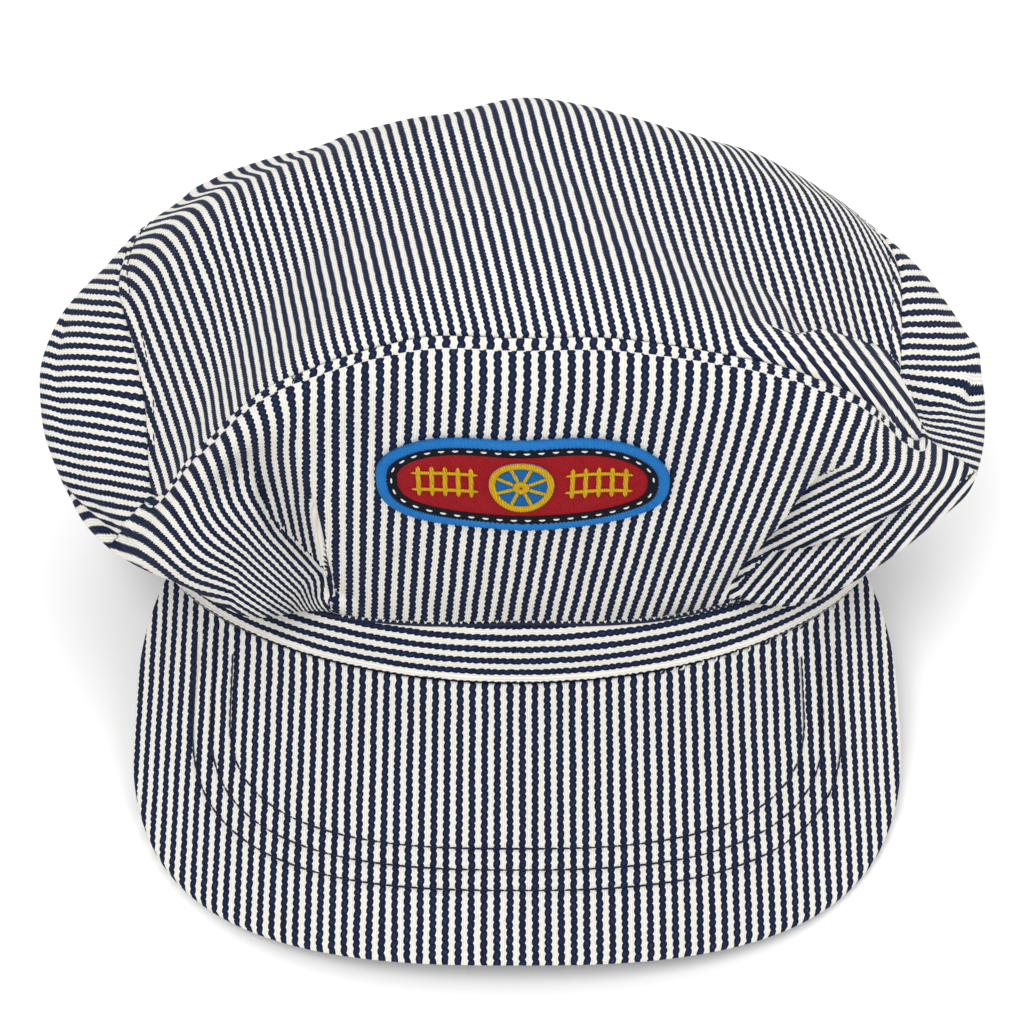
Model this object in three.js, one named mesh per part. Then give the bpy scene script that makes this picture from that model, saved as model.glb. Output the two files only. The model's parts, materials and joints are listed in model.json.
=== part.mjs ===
// A railroad engineer cap of hickory-stripe cotton: a floppy crown of four panels with a half-moon
// front, a band, an arched visor and an embroidered patch. Millimetres, +Z up, the visor towards -Y.
// The cap is worked out in its worn frame, where the rim of the head opening is the plane of height 0,
// and is then tilted back until it rests on the visor's two corners and the back of the rim.
import * as THREE from 'three';

// Head opening and band
const rimHalfWidth = 96;
const rimHalfDepth = 75;
const bandHeight = 17;
const bandLean = 4; // how much narrower the band is at its top edge
const bandWall = 2.4;

// Crown
const crownRise = 91; // from the band's top edge to the middle of the crown
const crownOverhang = 26; // how far the widest fold hangs out past the band
const crownTopRadius = 190; // rounding of the middle of the crown
const clothWall = 1.6;
const seamGap = 0.3; // between any two sewn pieces
const frontLeftEnd = -56; // azimuths in degrees from the middle of the front, + to the right
const frontRightEnd = 60;
const leftCornerLean = 8.5; // how far the front panel's end seams lean back towards the band
const rightCornerLean = 20;
const cornerLeanSpread = 45; // azimuths over which that lean fades out
const backSeamTop = 112; // where a side seam turns down the back
const backSeamFoot = 152; // where it meets the band
const sidePanelTip = backSeamFoot - 0.6; // blunt back corner of a side panel

// Visor
const visorLength = 68;
const visorHalfWidth = 98; // measured along the arch
const visorRootHalfWidth = 90;
const visorArchRadius = 200;
const visorSlope = THREE.MathUtils.degToRad(30);
const visorWall = 2.6;
const visorOutlinePower = 2.4; // 2 is an ellipse, higher is squarer
const visorFrontShare = 0.74; // of the half outline, up to the widest place
const visorWidestForward = 2; // how far in front of the band that place is

// Patch
const patchWidth = 64;
const patchHeight = 26;
const patchWall = 1.8;
const patchAzimuth = 0.7;
const patchCentreHeight = 0.36; // as a share along a crown section, see crownLevels

// Crown sections, one row for each azimuth, and each place in it as [out, up]. Outs are shares of
// crownOverhang past the band's top edge, the crest's out is its reach as a share of the seam's,
// and ups are shares of crownRise.
const crownSections = [
  { azimuth: -109, under: [0.61, 0.10], bulge: [0.90, 0.32], seam: [0.53, 0.47], crest: [0.64, 0.76] },
  { azimuth: -85, under: [0.80, 0.08], bulge: [1.00, 0.30], seam: [0.17, 0.47], crest: [0.66, 0.84] },
  { azimuth: -70, under: [0.80, 0.00], bulge: [1.02, 0.17], seam: [0.26, 0.39], crest: [0.70, 0.77] },
  { azimuth: -56, under: [0.70, -0.04], bulge: [0.93, 0.10], seam: [0.74, 0.28], crest: [0.68, 0.75] },
  { azimuth: -45, under: [0.60, -0.03], bulge: [0.90, 0.30], seam: [0.79, 0.54], crest: [0.64, 0.86] },
  { azimuth: -32, under: [0.36, 0.04], bulge: [0.68, 0.50], seam: [0.77, 0.80], crest: [0.58, 0.95] },
  { azimuth: -16, under: [0.20, 0.12], bulge: [0.42, 0.54], seam: [0.40, 0.90], crest: [0.55, 1.01] },
  { azimuth: 0, under: [0.18, 0.13], bulge: [0.42, 0.54], seam: [0.36, 0.91], crest: [0.54, 1.02] },
  { azimuth: 17, under: [0.20, 0.12], bulge: [0.46, 0.54], seam: [0.42, 0.90], crest: [0.54, 1.01] },
  { azimuth: 33, under: [0.32, 0.05], bulge: [0.73, 0.48], seam: [0.80, 0.85], crest: [0.59, 0.95] },
  { azimuth: 46, under: [0.46, 0.00], bulge: [0.92, 0.36], seam: [0.89, 0.69], crest: [0.68, 0.84] },
  { azimuth: 60, under: [0.56, -0.02], bulge: [0.96, 0.19], seam: [0.86, 0.42], crest: [0.70, 0.75] },
  { azimuth: 72, under: [0.65, 0.06], bulge: [1.03, 0.19], seam: [0.32, 0.44], crest: [0.72, 0.74] },
  { azimuth: 88, under: [0.65, 0.08], bulge: [0.89, 0.30], seam: [0.12, 0.49], crest: [0.65, 0.83] },
  { azimuth: 110, under: [0.58, 0.10], bulge: [0.73, 0.32], seam: [0.33, 0.51], crest: [0.66, 0.79] },
  { azimuth: 135, under: [0.62, 0.10], bulge: [0.90, 0.30], seam: [0.52, 0.50], crest: [0.58, 0.78] },
  { azimuth: 180, under: [0.36, 0.08], bulge: [0.74, 0.28], seam: [0.40, 0.55], crest: [0.57, 0.82] },
  { azimuth: 225, under: [0.62, 0.10], bulge: [0.94, 0.30], seam: [0.56, 0.48], crest: [0.57, 0.73] },
];
// Where the band edge, under, bulge, seam, crest and middle lie along a section, from 0 to 1
const crownLevels = [0, 0.16, 0.38, 0.6, 0.8, 1];
const seamLevel = crownLevels[3];
const sectionLength = 1.65 * crownRise; // about how long a section is, from the band to the middle

// Folds: a line on the crown from one azimuth and level to another, its half width and its height
// (minus for a valley) as shares of crownOverhang
const folds = [
  { from: [-29, 0.02], to: [-38, 0.46], halfWidth: 0.34, height: -0.30 }, // left pleat
  { from: [-38, 0.10], to: [-47, 0.36], halfWidth: 0.42, height: 0.14 }, // flap beside it
  { from: [35, 0.02], to: [42, 0.42], halfWidth: 0.32, height: -0.28 }, // right pleat
  { from: [44, 0.10], to: [58, 0.32], halfWidth: 0.34, height: 0.16 }, // lobe beside it
  { from: [38, 0.03], to: [66, 0.16], halfWidth: 0.20, height: -0.16 }, // crease below the lobe
  { from: [-62, 0.36], to: [-74, 0.27], halfWidth: 0.30, height: -0.10 }, // nook at the left corner
  { from: [46, 0.82], to: [76, 0.63], halfWidth: 0.34, height: -0.15 }, // dent at the right of the top
  { from: [50, 0.70], to: [68, 0.62], halfWidth: 0.30, height: 0.13 }, // swell in front of it
  { from: [-118, 0.66], to: [-122, 0.84], halfWidth: 0.26, height: 0.10 }, // ridge at the back left
  { from: [112, 0.64], to: [100, 0.84], halfWidth: 0.34, height: -0.12 }, // hollow at the back right
];

const toRadians = THREE.MathUtils.degToRad;

// Steps of the mesh
const frontColumns = 32;
const sideColumns = 14;
const backColumns = 8;
const panelRows = 12;
const topRows = 10;

function ellipseReach(azimuth, halfWidth, halfDepth) {
  const angle = toRadians(azimuth);
  return 1 / Math.hypot(Math.sin(angle) / halfWidth, Math.cos(angle) / halfDepth);
}

function atAzimuth(azimuth, reach, height) {
  const angle = toRadians(azimuth);
  return new THREE.Vector3(reach * Math.sin(angle), -reach * Math.cos(angle), height);
}

// Smooth curve through values at uneven places, with each slope taken from the two neighbours
function smoothValue(places, values, slopes, place) {
  let i = 0;
  while (i < places.length - 2 && place > places[i + 1]) i += 1;
  const span = places[i + 1] - places[i];
  const s = (place - places[i]) / span;
  const a = (1 + 2 * s) * (1 - s) ** 2;
  const b = s * (1 - s) ** 2;
  const c = s * s * (3 - 2 * s);
  const d = s * s * (s - 1);
  return a * values[i] + b * span * slopes[i] + c * values[i + 1] + d * span * slopes[i + 1];
}

function neighbourSlopes(places, values) {
  return values.map((value, i) => {
    const before = Math.max(i - 1, 0);
    const after = Math.min(i + 1, values.length - 1);
    return (values[after] - values[before]) / (places[after] - places[before]);
  });
}

// The section table as periodic columns over a little more than one turn
function periodicColumn(key, index) {
  const turns = [-360, 0, 360];
  const places = turns.flatMap((turn) => crownSections.map((row) => row.azimuth + turn));
  const values = turns.flatMap(() => crownSections.map((row) => row[key][index]));
  return { places, values, slopes: neighbourSlopes(places, values) };
}

const sectionColumns = ['under', 'bulge', 'seam', 'crest'].map((key) => (
  { out: periodicColumn(key, 0), up: periodicColumn(key, 1) }
));

function tableValue(column, azimuth) {
  return smoothValue(column.places, column.values, column.slopes, azimuth);
}

// One section of the crown: reach and height at each of the crown's levels
function crownSection(azimuth) {
  const bandReach = ellipseReach(azimuth, rimHalfWidth - bandLean, rimHalfDepth - bandLean);
  const foot = bandHeight + seamGap;
  const reaches = [bandReach];
  const heights = [foot];
  sectionColumns.forEach((column, i) => {
    const out = tableValue(column.out, azimuth);
    const isCrest = i === sectionColumns.length - 1;
    reaches.push(isCrest ? out * reaches[i] : bandReach + out * crownOverhang);
    heights.push(foot + tableValue(column.up, azimuth) * crownRise);
  });
  reaches.push(0);
  heights.push(foot + crownRise);
  return { reaches, heights };
}

// The crown's outer surface without folds
function smoothCrown(azimuth, level) {
  const { reaches, heights } = crownSection(azimuth);
  const reachSlopes = neighbourSlopes(crownLevels, reaches);
  const heightSlopes = neighbourSlopes(crownLevels, heights);
  const reach = smoothValue(crownLevels, reaches, reachSlopes, level);
  const crest = crownLevels.length - 2;
  if (level <= crownLevels[crest]) {
    return atAzimuth(azimuth, reach, smoothValue(crownLevels, heights, heightSlopes, level));
  }
  // Above the crest the height starts from one round top, the same in every direction
  const span = 1 - crownLevels[crest];
  const share = (1 - level) / span;
  const round = -(reaches[crest] ** 2) / (2 * crownTopRadius);
  const drop = heights[crest] - heights[crest + 1];
  const quartic = -heightSlopes[crest] * span - 3 * drop + round;
  const cubic = drop - round - quartic;
  const fall = round * share ** 2 + cubic * share ** 3 + quartic * share ** 4;
  return atAzimuth(azimuth, reach, heights[crest + 1] + fall);
}

function outwardNormal(surface, azimuth, level) {
  const azimuthStep = 0.5;
  const levelStep = 0.004;
  const lower = Math.max(level - levelStep, 0);
  const upper = Math.min(level + levelStep, 1);
  const across = surface(azimuth + azimuthStep, level).sub(surface(azimuth - azimuthStep, level));
  const along = surface(azimuth, upper).sub(surface(azimuth, lower));
  const normal = across.cross(along);
  return normal.lengthSq() > 0 ? normal.normalize() : new THREE.Vector3(0, 0, 1);
}

// Sum of the folds at one place, in mm along the normal
function foldHeight(azimuth, level, reach) {
  let height = 0;
  for (const fold of folds) {
    const turn = Math.round((azimuth - fold.from[0]) / 360) * 360;
    const acrossScale = toRadians(1) * reach;
    const spanX = (fold.to[0] - fold.from[0]) * acrossScale;
    const spanY = (fold.to[1] - fold.from[1]) * sectionLength;
    const x = (azimuth - turn - fold.from[0]) * acrossScale;
    const y = (level - fold.from[1]) * sectionLength;
    const share = THREE.MathUtils.clamp((x * spanX + y * spanY) / (spanX ** 2 + spanY ** 2), 0, 1);
    const distance = Math.hypot(x - share * spanX, y - share * spanY);
    const width = fold.halfWidth * crownOverhang;
    height += fold.height * crownOverhang * Math.exp(-((distance / width) ** 2));
  }
  return height;
}

function crownSurface(azimuth, level) {
  const point = smoothCrown(azimuth, level);
  const reach = Math.hypot(point.x, point.y);
  const nearBand = THREE.MathUtils.smoothstep(level, 0, crownLevels[1]);
  const lift = foldHeight(azimuth, level, reach) * nearBand;
  return point.addScaledVector(outwardNormal(smoothCrown, azimuth, level), lift);
}

// A closed wall from a grid of outer points and the matching inner points. Rows run from foot to
// head; a ring closes on itself, and a ring with a tip ends in one point.
function wallGeometry(outer, inner, isRing, hasTip) {
  const rows = outer.length;
  const columns = outer[0].length;
  const positions = [];
  const faces = [];
  const addGrid = (grid) => {
    const start = positions.length / 3;
    grid.forEach((row) => row.forEach((point) => positions.push(point.x, point.y, point.z)));
    return start;
  };
  const outerStart = addGrid(outer);
  const innerStart = addGrid(inner);
  const vertex = (start, row, column) => start + row * columns + (column % columns);
  const addQuad = (a, b, c, d) => faces.push(a, b, c, a, c, d);
  const lastColumn = isRing ? columns : columns - 1;
  const gridRows = hasTip ? rows - 1 : rows;
  for (let row = 0; row < gridRows - 1; row += 1) {
    for (let column = 0; column < lastColumn; column += 1) {
      const [o, i] = [outerStart, innerStart];
      addQuad(vertex(o, row, column), vertex(o, row, column + 1),
        vertex(o, row + 1, column + 1), vertex(o, row + 1, column));
      addQuad(vertex(i, row, column), vertex(i, row + 1, column),
        vertex(i, row + 1, column + 1), vertex(i, row, column + 1));
    }
  }
  const addRim = (row, isHead) => {
    for (let column = 0; column < lastColumn; column += 1) {
      const [a, b] = isHead ? [column + 1, column] : [column, column + 1];
      addQuad(vertex(innerStart, row, a), vertex(innerStart, row, b),
        vertex(outerStart, row, b), vertex(outerStart, row, a));
    }
  };
  addRim(0, false);
  if (hasTip) {
    const row = gridRows - 1;
    const outerTip = vertex(outerStart, rows - 1, 0);
    const innerTip = vertex(innerStart, rows - 1, 0);
    for (let column = 0; column < lastColumn; column += 1) {
      faces.push(vertex(outerStart, row, column), vertex(outerStart, row, column + 1), outerTip);
      faces.push(vertex(innerStart, row, column + 1), vertex(innerStart, row, column), innerTip);
    }
  } else {
    addRim(rows - 1, true);
  }
  if (!isRing) {
    for (let row = 0; row < rows - 1; row += 1) {
      addQuad(vertex(innerStart, row + 1, 0), vertex(innerStart, row, 0),
        vertex(outerStart, row, 0), vertex(outerStart, row + 1, 0));
      addQuad(vertex(innerStart, row, columns - 1), vertex(innerStart, row + 1, columns - 1),
        vertex(outerStart, row + 1, columns - 1), vertex(outerStart, row, columns - 1));
    }
  }
  const geometry = new THREE.BufferGeometry();
  geometry.setAttribute('position', new THREE.Float32BufferAttribute(positions, 3));
  geometry.setIndex(faces);
  geometry.computeVertexNormals();
  return geometry;
}

function evenSteps(from, to, count) {
  return Array.from({ length: count + 1 }, (unused, i) => from + ((to - from) * i) / count);
}

// A level moved by a length in mm along the section, and an azimuth by a length in mm across
const levelOf = (length) => length / sectionLength;
const azimuthOf = (length) => THREE.MathUtils.radToDeg(length / rimHalfWidth);
const seamLevels = levelOf(seamGap / 2);
const seamAzimuth = azimuthOf(seamGap / 2);

// Lower edge of the centre panel: the front and side seams, then straight down the back
function centreEdge(azimuth) {
  const fromFront = Math.abs(((azimuth + 540) % 360) - 180);
  const share = (backSeamFoot - fromFront) / (backSeamFoot - backSeamTop);
  return seamLevel * THREE.MathUtils.clamp(share, 0, 1);
}

// The end seams of the front panel lean away from the front as they run down to the band
function leanedAzimuth(azimuth, level) {
  const turned = azimuth > 180 ? azimuth - 360 : azimuth;
  const [end, lean] = turned < 0 ? [frontLeftEnd, -leftCornerLean] : [frontRightEnd, rightCornerLean];
  const nearness = 1 - THREE.MathUtils.smoothstep(Math.abs(turned - end), 0, cornerLeanSpread);
  return azimuth + lean * nearness * Math.sqrt(Math.max(1 - level / (seamLevel - seamLevels), 0));
}

// A crown panel between two levels that may change with the azimuth
function crownPanel(azimuths, rows, lowerLevel, upperLevel, isRing) {
  const outer = [];
  const inner = [];
  for (let row = 0; row <= rows; row += 1) {
    const share = row / rows;
    const places = azimuths.map((azimuth) => {
      const level = THREE.MathUtils.lerp(lowerLevel(azimuth), upperLevel(azimuth), share);
      return [leanedAzimuth(azimuth, level), level];
    });
    const points = places.map(([azimuth, level]) => crownSurface(azimuth, level));
    outer.push(points);
    inner.push(points.map((point, i) => (
      point.clone().addScaledVector(outwardNormal(crownSurface, ...places[i]), -clothWall)
    )));
  }
  return wallGeometry(outer, inner, isRing, isRing);
}

function crownFront() {
  const azimuths = evenSteps(frontLeftEnd + seamAzimuth, frontRightEnd - seamAzimuth, frontColumns);
  return crownPanel(azimuths, panelRows, () => 0, () => seamLevel - seamLevels, false);
}

function crownSide(frontEnd) {
  const side = Math.sign(frontEnd);
  const magnitudes = evenSteps(Math.abs(frontEnd) + seamAzimuth, sidePanelTip, sideColumns);
  const azimuths = magnitudes.map((magnitude) => magnitude * side);
  if (side < 0) azimuths.reverse();
  const upper = (azimuth) => (
    Math.min(centreEdge(azimuth), centreEdge(azimuth + side * seamAzimuth)) - seamLevels
  );
  return crownPanel(azimuths, panelRows, () => 0, upper, false);
}

function crownTop() {
  const azimuths = [
    ...evenSteps(frontLeftEnd, frontRightEnd, frontColumns).slice(0, -1),
    ...evenSteps(frontRightEnd, sidePanelTip, sideColumns).slice(0, -1),
    ...evenSteps(sidePanelTip, 360 - sidePanelTip, backColumns).slice(0, -1),
    ...evenSteps(360 - sidePanelTip, 360 + frontLeftEnd, sideColumns).slice(0, -1),
  ];
  const lower = (azimuth) => {
    const towardsBack = azimuth < 180 ? 1 : -1;
    const edge = Math.max(centreEdge(azimuth), centreEdge(azimuth - towardsBack * seamAzimuth));
    return edge > 0 ? edge + seamLevels : 0;
  };
  return crownPanel(azimuths, topRows, lower, () => 1, true);
}

// The band: a leaning ring with flat upper and lower edges
function band() {
  const azimuths = evenSteps(0, 360, 2 * sideColumns + frontColumns + backColumns).slice(0, -1);
  const ring = (height, wall) => azimuths.map((azimuth) => {
    const lean = (bandLean * height) / bandHeight + wall;
    return atAzimuth(azimuth, ellipseReach(azimuth, rimHalfWidth - lean, rimHalfDepth - lean), height);
  });
  const heights = [0, bandHeight / 2, bandHeight];
  return wallGeometry(heights.map((h) => ring(h, 0)), heights.map((h) => ring(h, bandWall)), true, false);
}

// A place on the visor's arched surface: across along the arch, and forward down the slope
function visorPoint(across, forward) {
  const angle = across / visorArchRadius;
  const drop = visorArchRadius * (1 - Math.cos(angle));
  return new THREE.Vector3(
    visorArchRadius * Math.sin(angle),
    -rimHalfDepth - forward * Math.cos(visorSlope) + drop * Math.sin(visorSlope),
    -forward * Math.sin(visorSlope) - drop * Math.cos(visorSlope),
  );
}

// Where the visor meets the band's outer face
function visorRoot(across) {
  const x = visorPoint(across, 0).x;
  const faceWidth = rimHalfWidth + seamGap;
  const faceDepth = rimHalfDepth + seamGap;
  const faceY = -faceDepth * Math.sqrt(Math.max(1 - (x / faceWidth) ** 2, 0));
  return (visorPoint(across, 0).y - faceY) / Math.cos(visorSlope);
}

// The outer edge, from the middle of the front (0) round to the corner at the band (1)
function visorEdge(share) {
  const side = Math.sign(share);
  const amount = Math.abs(share);
  if (amount < visorFrontShare) {
    const angle = (amount / visorFrontShare) * (Math.PI / 2);
    const power = 2 / visorOutlinePower;
    return [
      side * visorHalfWidth * Math.sin(angle) ** power,
      visorWidestForward
        + (visorLength - visorWidestForward) * Math.max(Math.cos(angle), 0) ** power,
    ];
  }
  const back = (amount - visorFrontShare) / (1 - visorFrontShare);
  const corner = visorRoot(visorRootHalfWidth);
  const across = visorHalfWidth - (visorHalfWidth - visorRootHalfWidth) * back ** 3;
  return [side * across, THREE.MathUtils.lerp(visorWidestForward, corner, back)];
}

function visor() {
  const columns = 36;
  const rows = 7;
  const down = new THREE.Vector3(0, 0, -visorWall / Math.cos(visorSlope));
  const top = [];
  for (let row = 0; row <= rows; row += 1) {
    const share = row / rows;
    top.push(evenSteps(-1, 1, columns).map((place) => {
      const rootAcross = place * visorRootHalfWidth;
      const [edgeAcross, edgeForward] = visorEdge(place);
      const across = THREE.MathUtils.lerp(rootAcross, edgeAcross, share);
      return visorPoint(across, THREE.MathUtils.lerp(visorRoot(rootAcross), edgeForward, share));
    }));
  }
  const bottom = top.map((points) => points.map((point) => point.clone().add(down)));
  return wallGeometry(top.slice().reverse(), bottom.slice().reverse(), false, false);
}

// The patch: an oval that follows the front panel
function patch() {
  const rings = 4;
  const spokes = 36;
  const centre = crownSurface(patchAzimuth, patchCentreHeight);
  const degreeLength = crownSurface(patchAzimuth + 1, patchCentreHeight).distanceTo(centre);
  const levelStep = 0.01;
  const levelLength = crownSurface(patchAzimuth, patchCentreHeight + levelStep).distanceTo(centre);
  const place = (ring, spoke) => {
    const angle = (-2 * Math.PI * spoke) / spokes;
    const share = (rings - ring) / rings;
    return [
      patchAzimuth + (share * patchWidth * Math.cos(angle)) / 2 / degreeLength,
      patchCentreHeight + ((share * patchHeight * Math.sin(angle)) / 2 / levelLength) * levelStep,
    ];
  };
  const layer = (height) => Array.from({ length: rings + 1 }, (unusedRing, ring) => (
    Array.from({ length: spokes }, (unusedSpoke, spoke) => {
      const [azimuth, level] = place(ring, spokes - spoke);
      return crownSurface(azimuth, level)
        .addScaledVector(outwardNormal(crownSurface, azimuth, level), height);
    })
  ));
  return wallGeometry(layer(seamGap + patchWall), layer(seamGap), true, true);
}

function piece(name, geometry, material) {
  const mesh = new THREE.Mesh(geometry, material);
  mesh.name = name;
  return mesh;
}

const cloth = (color) => new THREE.MeshStandardMaterial({ color, roughness: 0.9, metalness: 0 });
const stripedCloth = cloth('#8f97ab');
const bandCloth = cloth('#838ca3');
const patchThread = new THREE.MeshStandardMaterial({ color: '#b3202c', roughness: 0.6, metalness: 0 });

const cap = new THREE.Group();
cap.add(piece('visor', visor(), stripedCloth));
cap.add(piece('band', band(), bandCloth));
cap.add(piece('crown_front', crownFront(), stripedCloth));
cap.add(piece('crown_top', crownTop(), stripedCloth));
cap.add(piece('crown_side_left', crownSide(frontLeftEnd), stripedCloth));
cap.add(piece('crown_side_right', crownSide(frontRightEnd), stripedCloth));
cap.add(piece('patch', patch(), patchThread));

// Tilt back about the rear of the rim until the visor's lowest corner is level with it
function restingTilt() {
  const visorPositions = cap.getObjectByName('visor').geometry.attributes.position;
  let tilt = 0;
  for (let i = 0; i < visorPositions.count; i += 1) {
    const run = rimHalfDepth - visorPositions.getY(i);
    tilt = Math.max(tilt, Math.atan2(-visorPositions.getZ(i), run));
  }
  return tilt;
}
cap.rotation.x = -restingTilt();

// The origin is on the floor below the middle of the resting cap
const restingCap = new THREE.Group();
restingCap.add(cap);
const box = new THREE.Box3().setFromObject(restingCap, true);
cap.position.set(-(box.min.x + box.max.x) / 2, -(box.min.y + box.max.y) / 2, -box.min.z);

export default restingCap;
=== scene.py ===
import json
import math

import bpy
import numpy as np
from mathutils import Matrix, Vector


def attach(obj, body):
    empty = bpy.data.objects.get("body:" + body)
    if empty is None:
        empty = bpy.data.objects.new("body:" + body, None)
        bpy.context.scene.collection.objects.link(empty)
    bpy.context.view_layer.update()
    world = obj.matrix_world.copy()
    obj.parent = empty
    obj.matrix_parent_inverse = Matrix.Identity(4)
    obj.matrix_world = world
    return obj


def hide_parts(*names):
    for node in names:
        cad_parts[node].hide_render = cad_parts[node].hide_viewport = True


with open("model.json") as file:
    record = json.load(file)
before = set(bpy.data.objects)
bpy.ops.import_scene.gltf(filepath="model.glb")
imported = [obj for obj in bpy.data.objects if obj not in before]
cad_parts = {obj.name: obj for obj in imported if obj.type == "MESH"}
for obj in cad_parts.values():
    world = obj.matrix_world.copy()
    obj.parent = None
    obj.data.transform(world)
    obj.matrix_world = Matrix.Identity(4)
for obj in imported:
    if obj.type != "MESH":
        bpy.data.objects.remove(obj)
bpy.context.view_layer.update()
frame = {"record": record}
print("stage 1: frame loaded")

# lengths are in mm until toFrame turns them into the frame's metres
capShape = {
    "rimHalfWidth": 96.0,
    "rimHalfDepth": 75.0,
    "bandHeight": 17.0,
    "bandLean": 4.0,
    "bandWall": 2.4,
    "crownRise": 91.0,
    "crownOverhang": 26.0,
    "crownTopRadius": 190.0,
    "clothWall": 1.4,
    "seamGap": 0.16,
    "footLift": 0.3,
    "frontEnds": (-56.0, 60.0),
    "cornerLeans": (8.5, 20.0),
    "cornerReach": 45,
    "backSeamTop": 112.0,
    "backSeamFoot": 152.0,
}

# one row per azimuth: under out/up, bulge out/up, seam out/up, crest reach/up
crownSections = (
    (-109, 0.61, 0.10, 0.90, 0.32, 0.53, 0.47, 0.64, 0.76),
    (-85, 0.80, 0.08, 1.00, 0.30, 0.17, 0.47, 0.66, 0.84),
    (-70, 0.80, 0.015, 1.02, 0.17, 0.26, 0.39, 0.70, 0.77),
    (-56, 0.66, 0.025, 0.93, 0.11, 0.74, 0.28, 0.68, 0.75),
    (-45, 0.56, 0.01, 0.90, 0.30, 0.79, 0.54, 0.64, 0.86),
    (-32, 0.36, 0.04, 0.68, 0.50, 0.77, 0.80, 0.58, 0.95),
    (-16, 0.20, 0.12, 0.42, 0.54, 0.40, 0.90, 0.55, 1.01),
    (0, 0.18, 0.13, 0.42, 0.54, 0.36, 0.91, 0.54, 1.02),
    (17, 0.20, 0.12, 0.46, 0.54, 0.42, 0.90, 0.54, 1.01),
    (33, 0.32, 0.05, 0.73, 0.48, 0.80, 0.85, 0.59, 0.95),
    (46, 0.46, 0.00, 0.92, 0.36, 0.89, 0.69, 0.68, 0.84),
    (60, 0.56, 0.00, 0.96, 0.19, 0.86, 0.42, 0.70, 0.75),
    (72, 0.65, 0.06, 1.03, 0.19, 0.32, 0.44, 0.72, 0.74),
    (88, 0.65, 0.08, 0.89, 0.30, 0.12, 0.49, 0.65, 0.83),
    (110, 0.58, 0.10, 0.73, 0.32, 0.33, 0.51, 0.66, 0.79),
    (135, 0.62, 0.10, 0.90, 0.30, 0.52, 0.50, 0.58, 0.78),
    (180, 0.36, 0.08, 0.74, 0.28, 0.40, 0.55, 0.57, 0.82),
    (225, 0.62, 0.10, 0.94, 0.30, 0.56, 0.48, 0.57, 0.73),
)
# azimuth and how far the crown's foot hangs over the band there
footDrops = (
    (-180, 0), (-100, 0), (-72, 0), (-54, 0.4), (-38, 4.0), (-18, 2.5), (0, 1.0),
    (25, 2.8), (45, 3.2), (60, 0.5), (78, 0), (100, 0), (180, 0),
)
footFlare = 0.12  # how much further out the foot comes for each mm that it hangs
crownLevels = np.array([0, 0.16, 0.38, 0.6, 0.8, 1.0])
seamLevel = crownLevels[3]
sectionLength = 1.65 * capShape["crownRise"]

# broad folds: azimuth and level at both ends, width on the left and on the right of the line, and
# height, all in mm
foldLines = (
    ((-29, 0.02), (-38, 0.42), 9.0, 8.0, -6.0),  # left pleat
    ((-42, 0.18), (-49, 0.38), 12.0, 8.0, 3.0),  # flap beside it
    ((35, 0.02), (42, 0.38), 7.0, 10.0, -6.5),  # right pleat
    ((44, 0.10), (58, 0.32), 9.0, 9.0, 4.2),  # lobe beside it
    ((-62, 0.36), (-74, 0.27), 6.0, 8.0, -3.2),  # nook at the left corner
    ((-58, 0.44), (-66, 0.40), 4.0, 4.0, -1.6),
    ((-70, 0.42), (-92, 0.44), 5.0, 7.0, -1.8),  # soft fold round the left side
    ((58, 0.80), (76, 0.68), 8.0, 7.0, -2.6),  # dent at the right of the top
    ((50, 0.70), (66, 0.63), 8.0, 8.0, 2.2),  # swell in front of it
    ((70, 0.58), (82, 0.42), 6.0, 5.0, -3.0),  # fold at the right corner
    ((76, 0.50), (90, 0.40), 4.0, 5.0, 1.6),
    ((-118, 0.66), (-122, 0.84), 6.0, 6.0, 2.6),  # ridge at the back left
    ((112, 0.64), (104, 0.80), 9.0, 9.0, -1.0),  # hollow at the back right
    ((-8, 0.02), (-4, 0.20), 3.0, 3.0, -0.7),  # small gathers above the band
    ((9, 0.02), (12, 0.24), 3.0, 3.0, -0.9),
    ((22, 0.02), (27, 0.26), 3.4, 3.4, -1.2),
    ((-18, 0.02), (-20, 0.22), 3.0, 3.0, -0.8),
)

# sharp creases as places in the front view, in mm to the right of and above the rim's middle, each
# followed by the height and width of the cloth on the line's left hand and on its right hand, and the
# range of levels that it stays in
creaseLines = {
    "leftFlap": (((-70.1, 6.2), (-68.5, -0.3), (-67.2, -5.4), (-64.6, -10.6), (-60.5, -15.3),
                  (-56.1, -19.7), (-51.7, -22.8), (-48.1, -27.9)), -2.8, 8.0, 1.4, 9.0, 0, 0.5),
    "leftPleat": (((-56.1, 6.2), (-52.2, -4.7), (-50.2, -17.6), (-48.1, -27.9)),
                  0.9, 6.0, -1.5, 6.0, 0, 0.5),
    "rightPleat": (((83.5, 8.3), (79.1, 1.8), (75.0, -2.3), (72.4, -6.2), (68.0, -11.4), (63.6, -16.5),
                    (59.5, -20.9), (56.0, -26.0)), -2.8, 8.0, 1.5, 8.0, 0, 0.5),
    "rightLobe": (((115.3, 7.0), (109.4, 4.1), (104.2, 1.8), (99.0, -0.8), (93.4, -4.1), (87.9, -8.0),
                   (81.7, -10.6), (76.5, -14.0), (70.6, -17.1), (65.4, -19.7), (60.0, -24.5)),
                  -3.6, 6.0, 1.8, 7.0, 0, 0.5),
    "rightTuck": (((105.5, -2.1), (93.9, -9.3), (83.5, -16.5), (75.0, -22.2), (64.0, -26.0)),
                  -1.8, 4.0, 0.9, 5.0, 0, 0.5),
    "topFold": (((62.1, 48.9), (66.7, 45.0), (70.6, 42.9), (76.5, 42.9), (82.7, 43.2), (87.9, 42.4),
                 (93.4, 41.1), (98.5, 37.8), (104.2, 35.2)), -3.0, 9.0, 2.2, 8.0, 0.61, 0.9),
}
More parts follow.
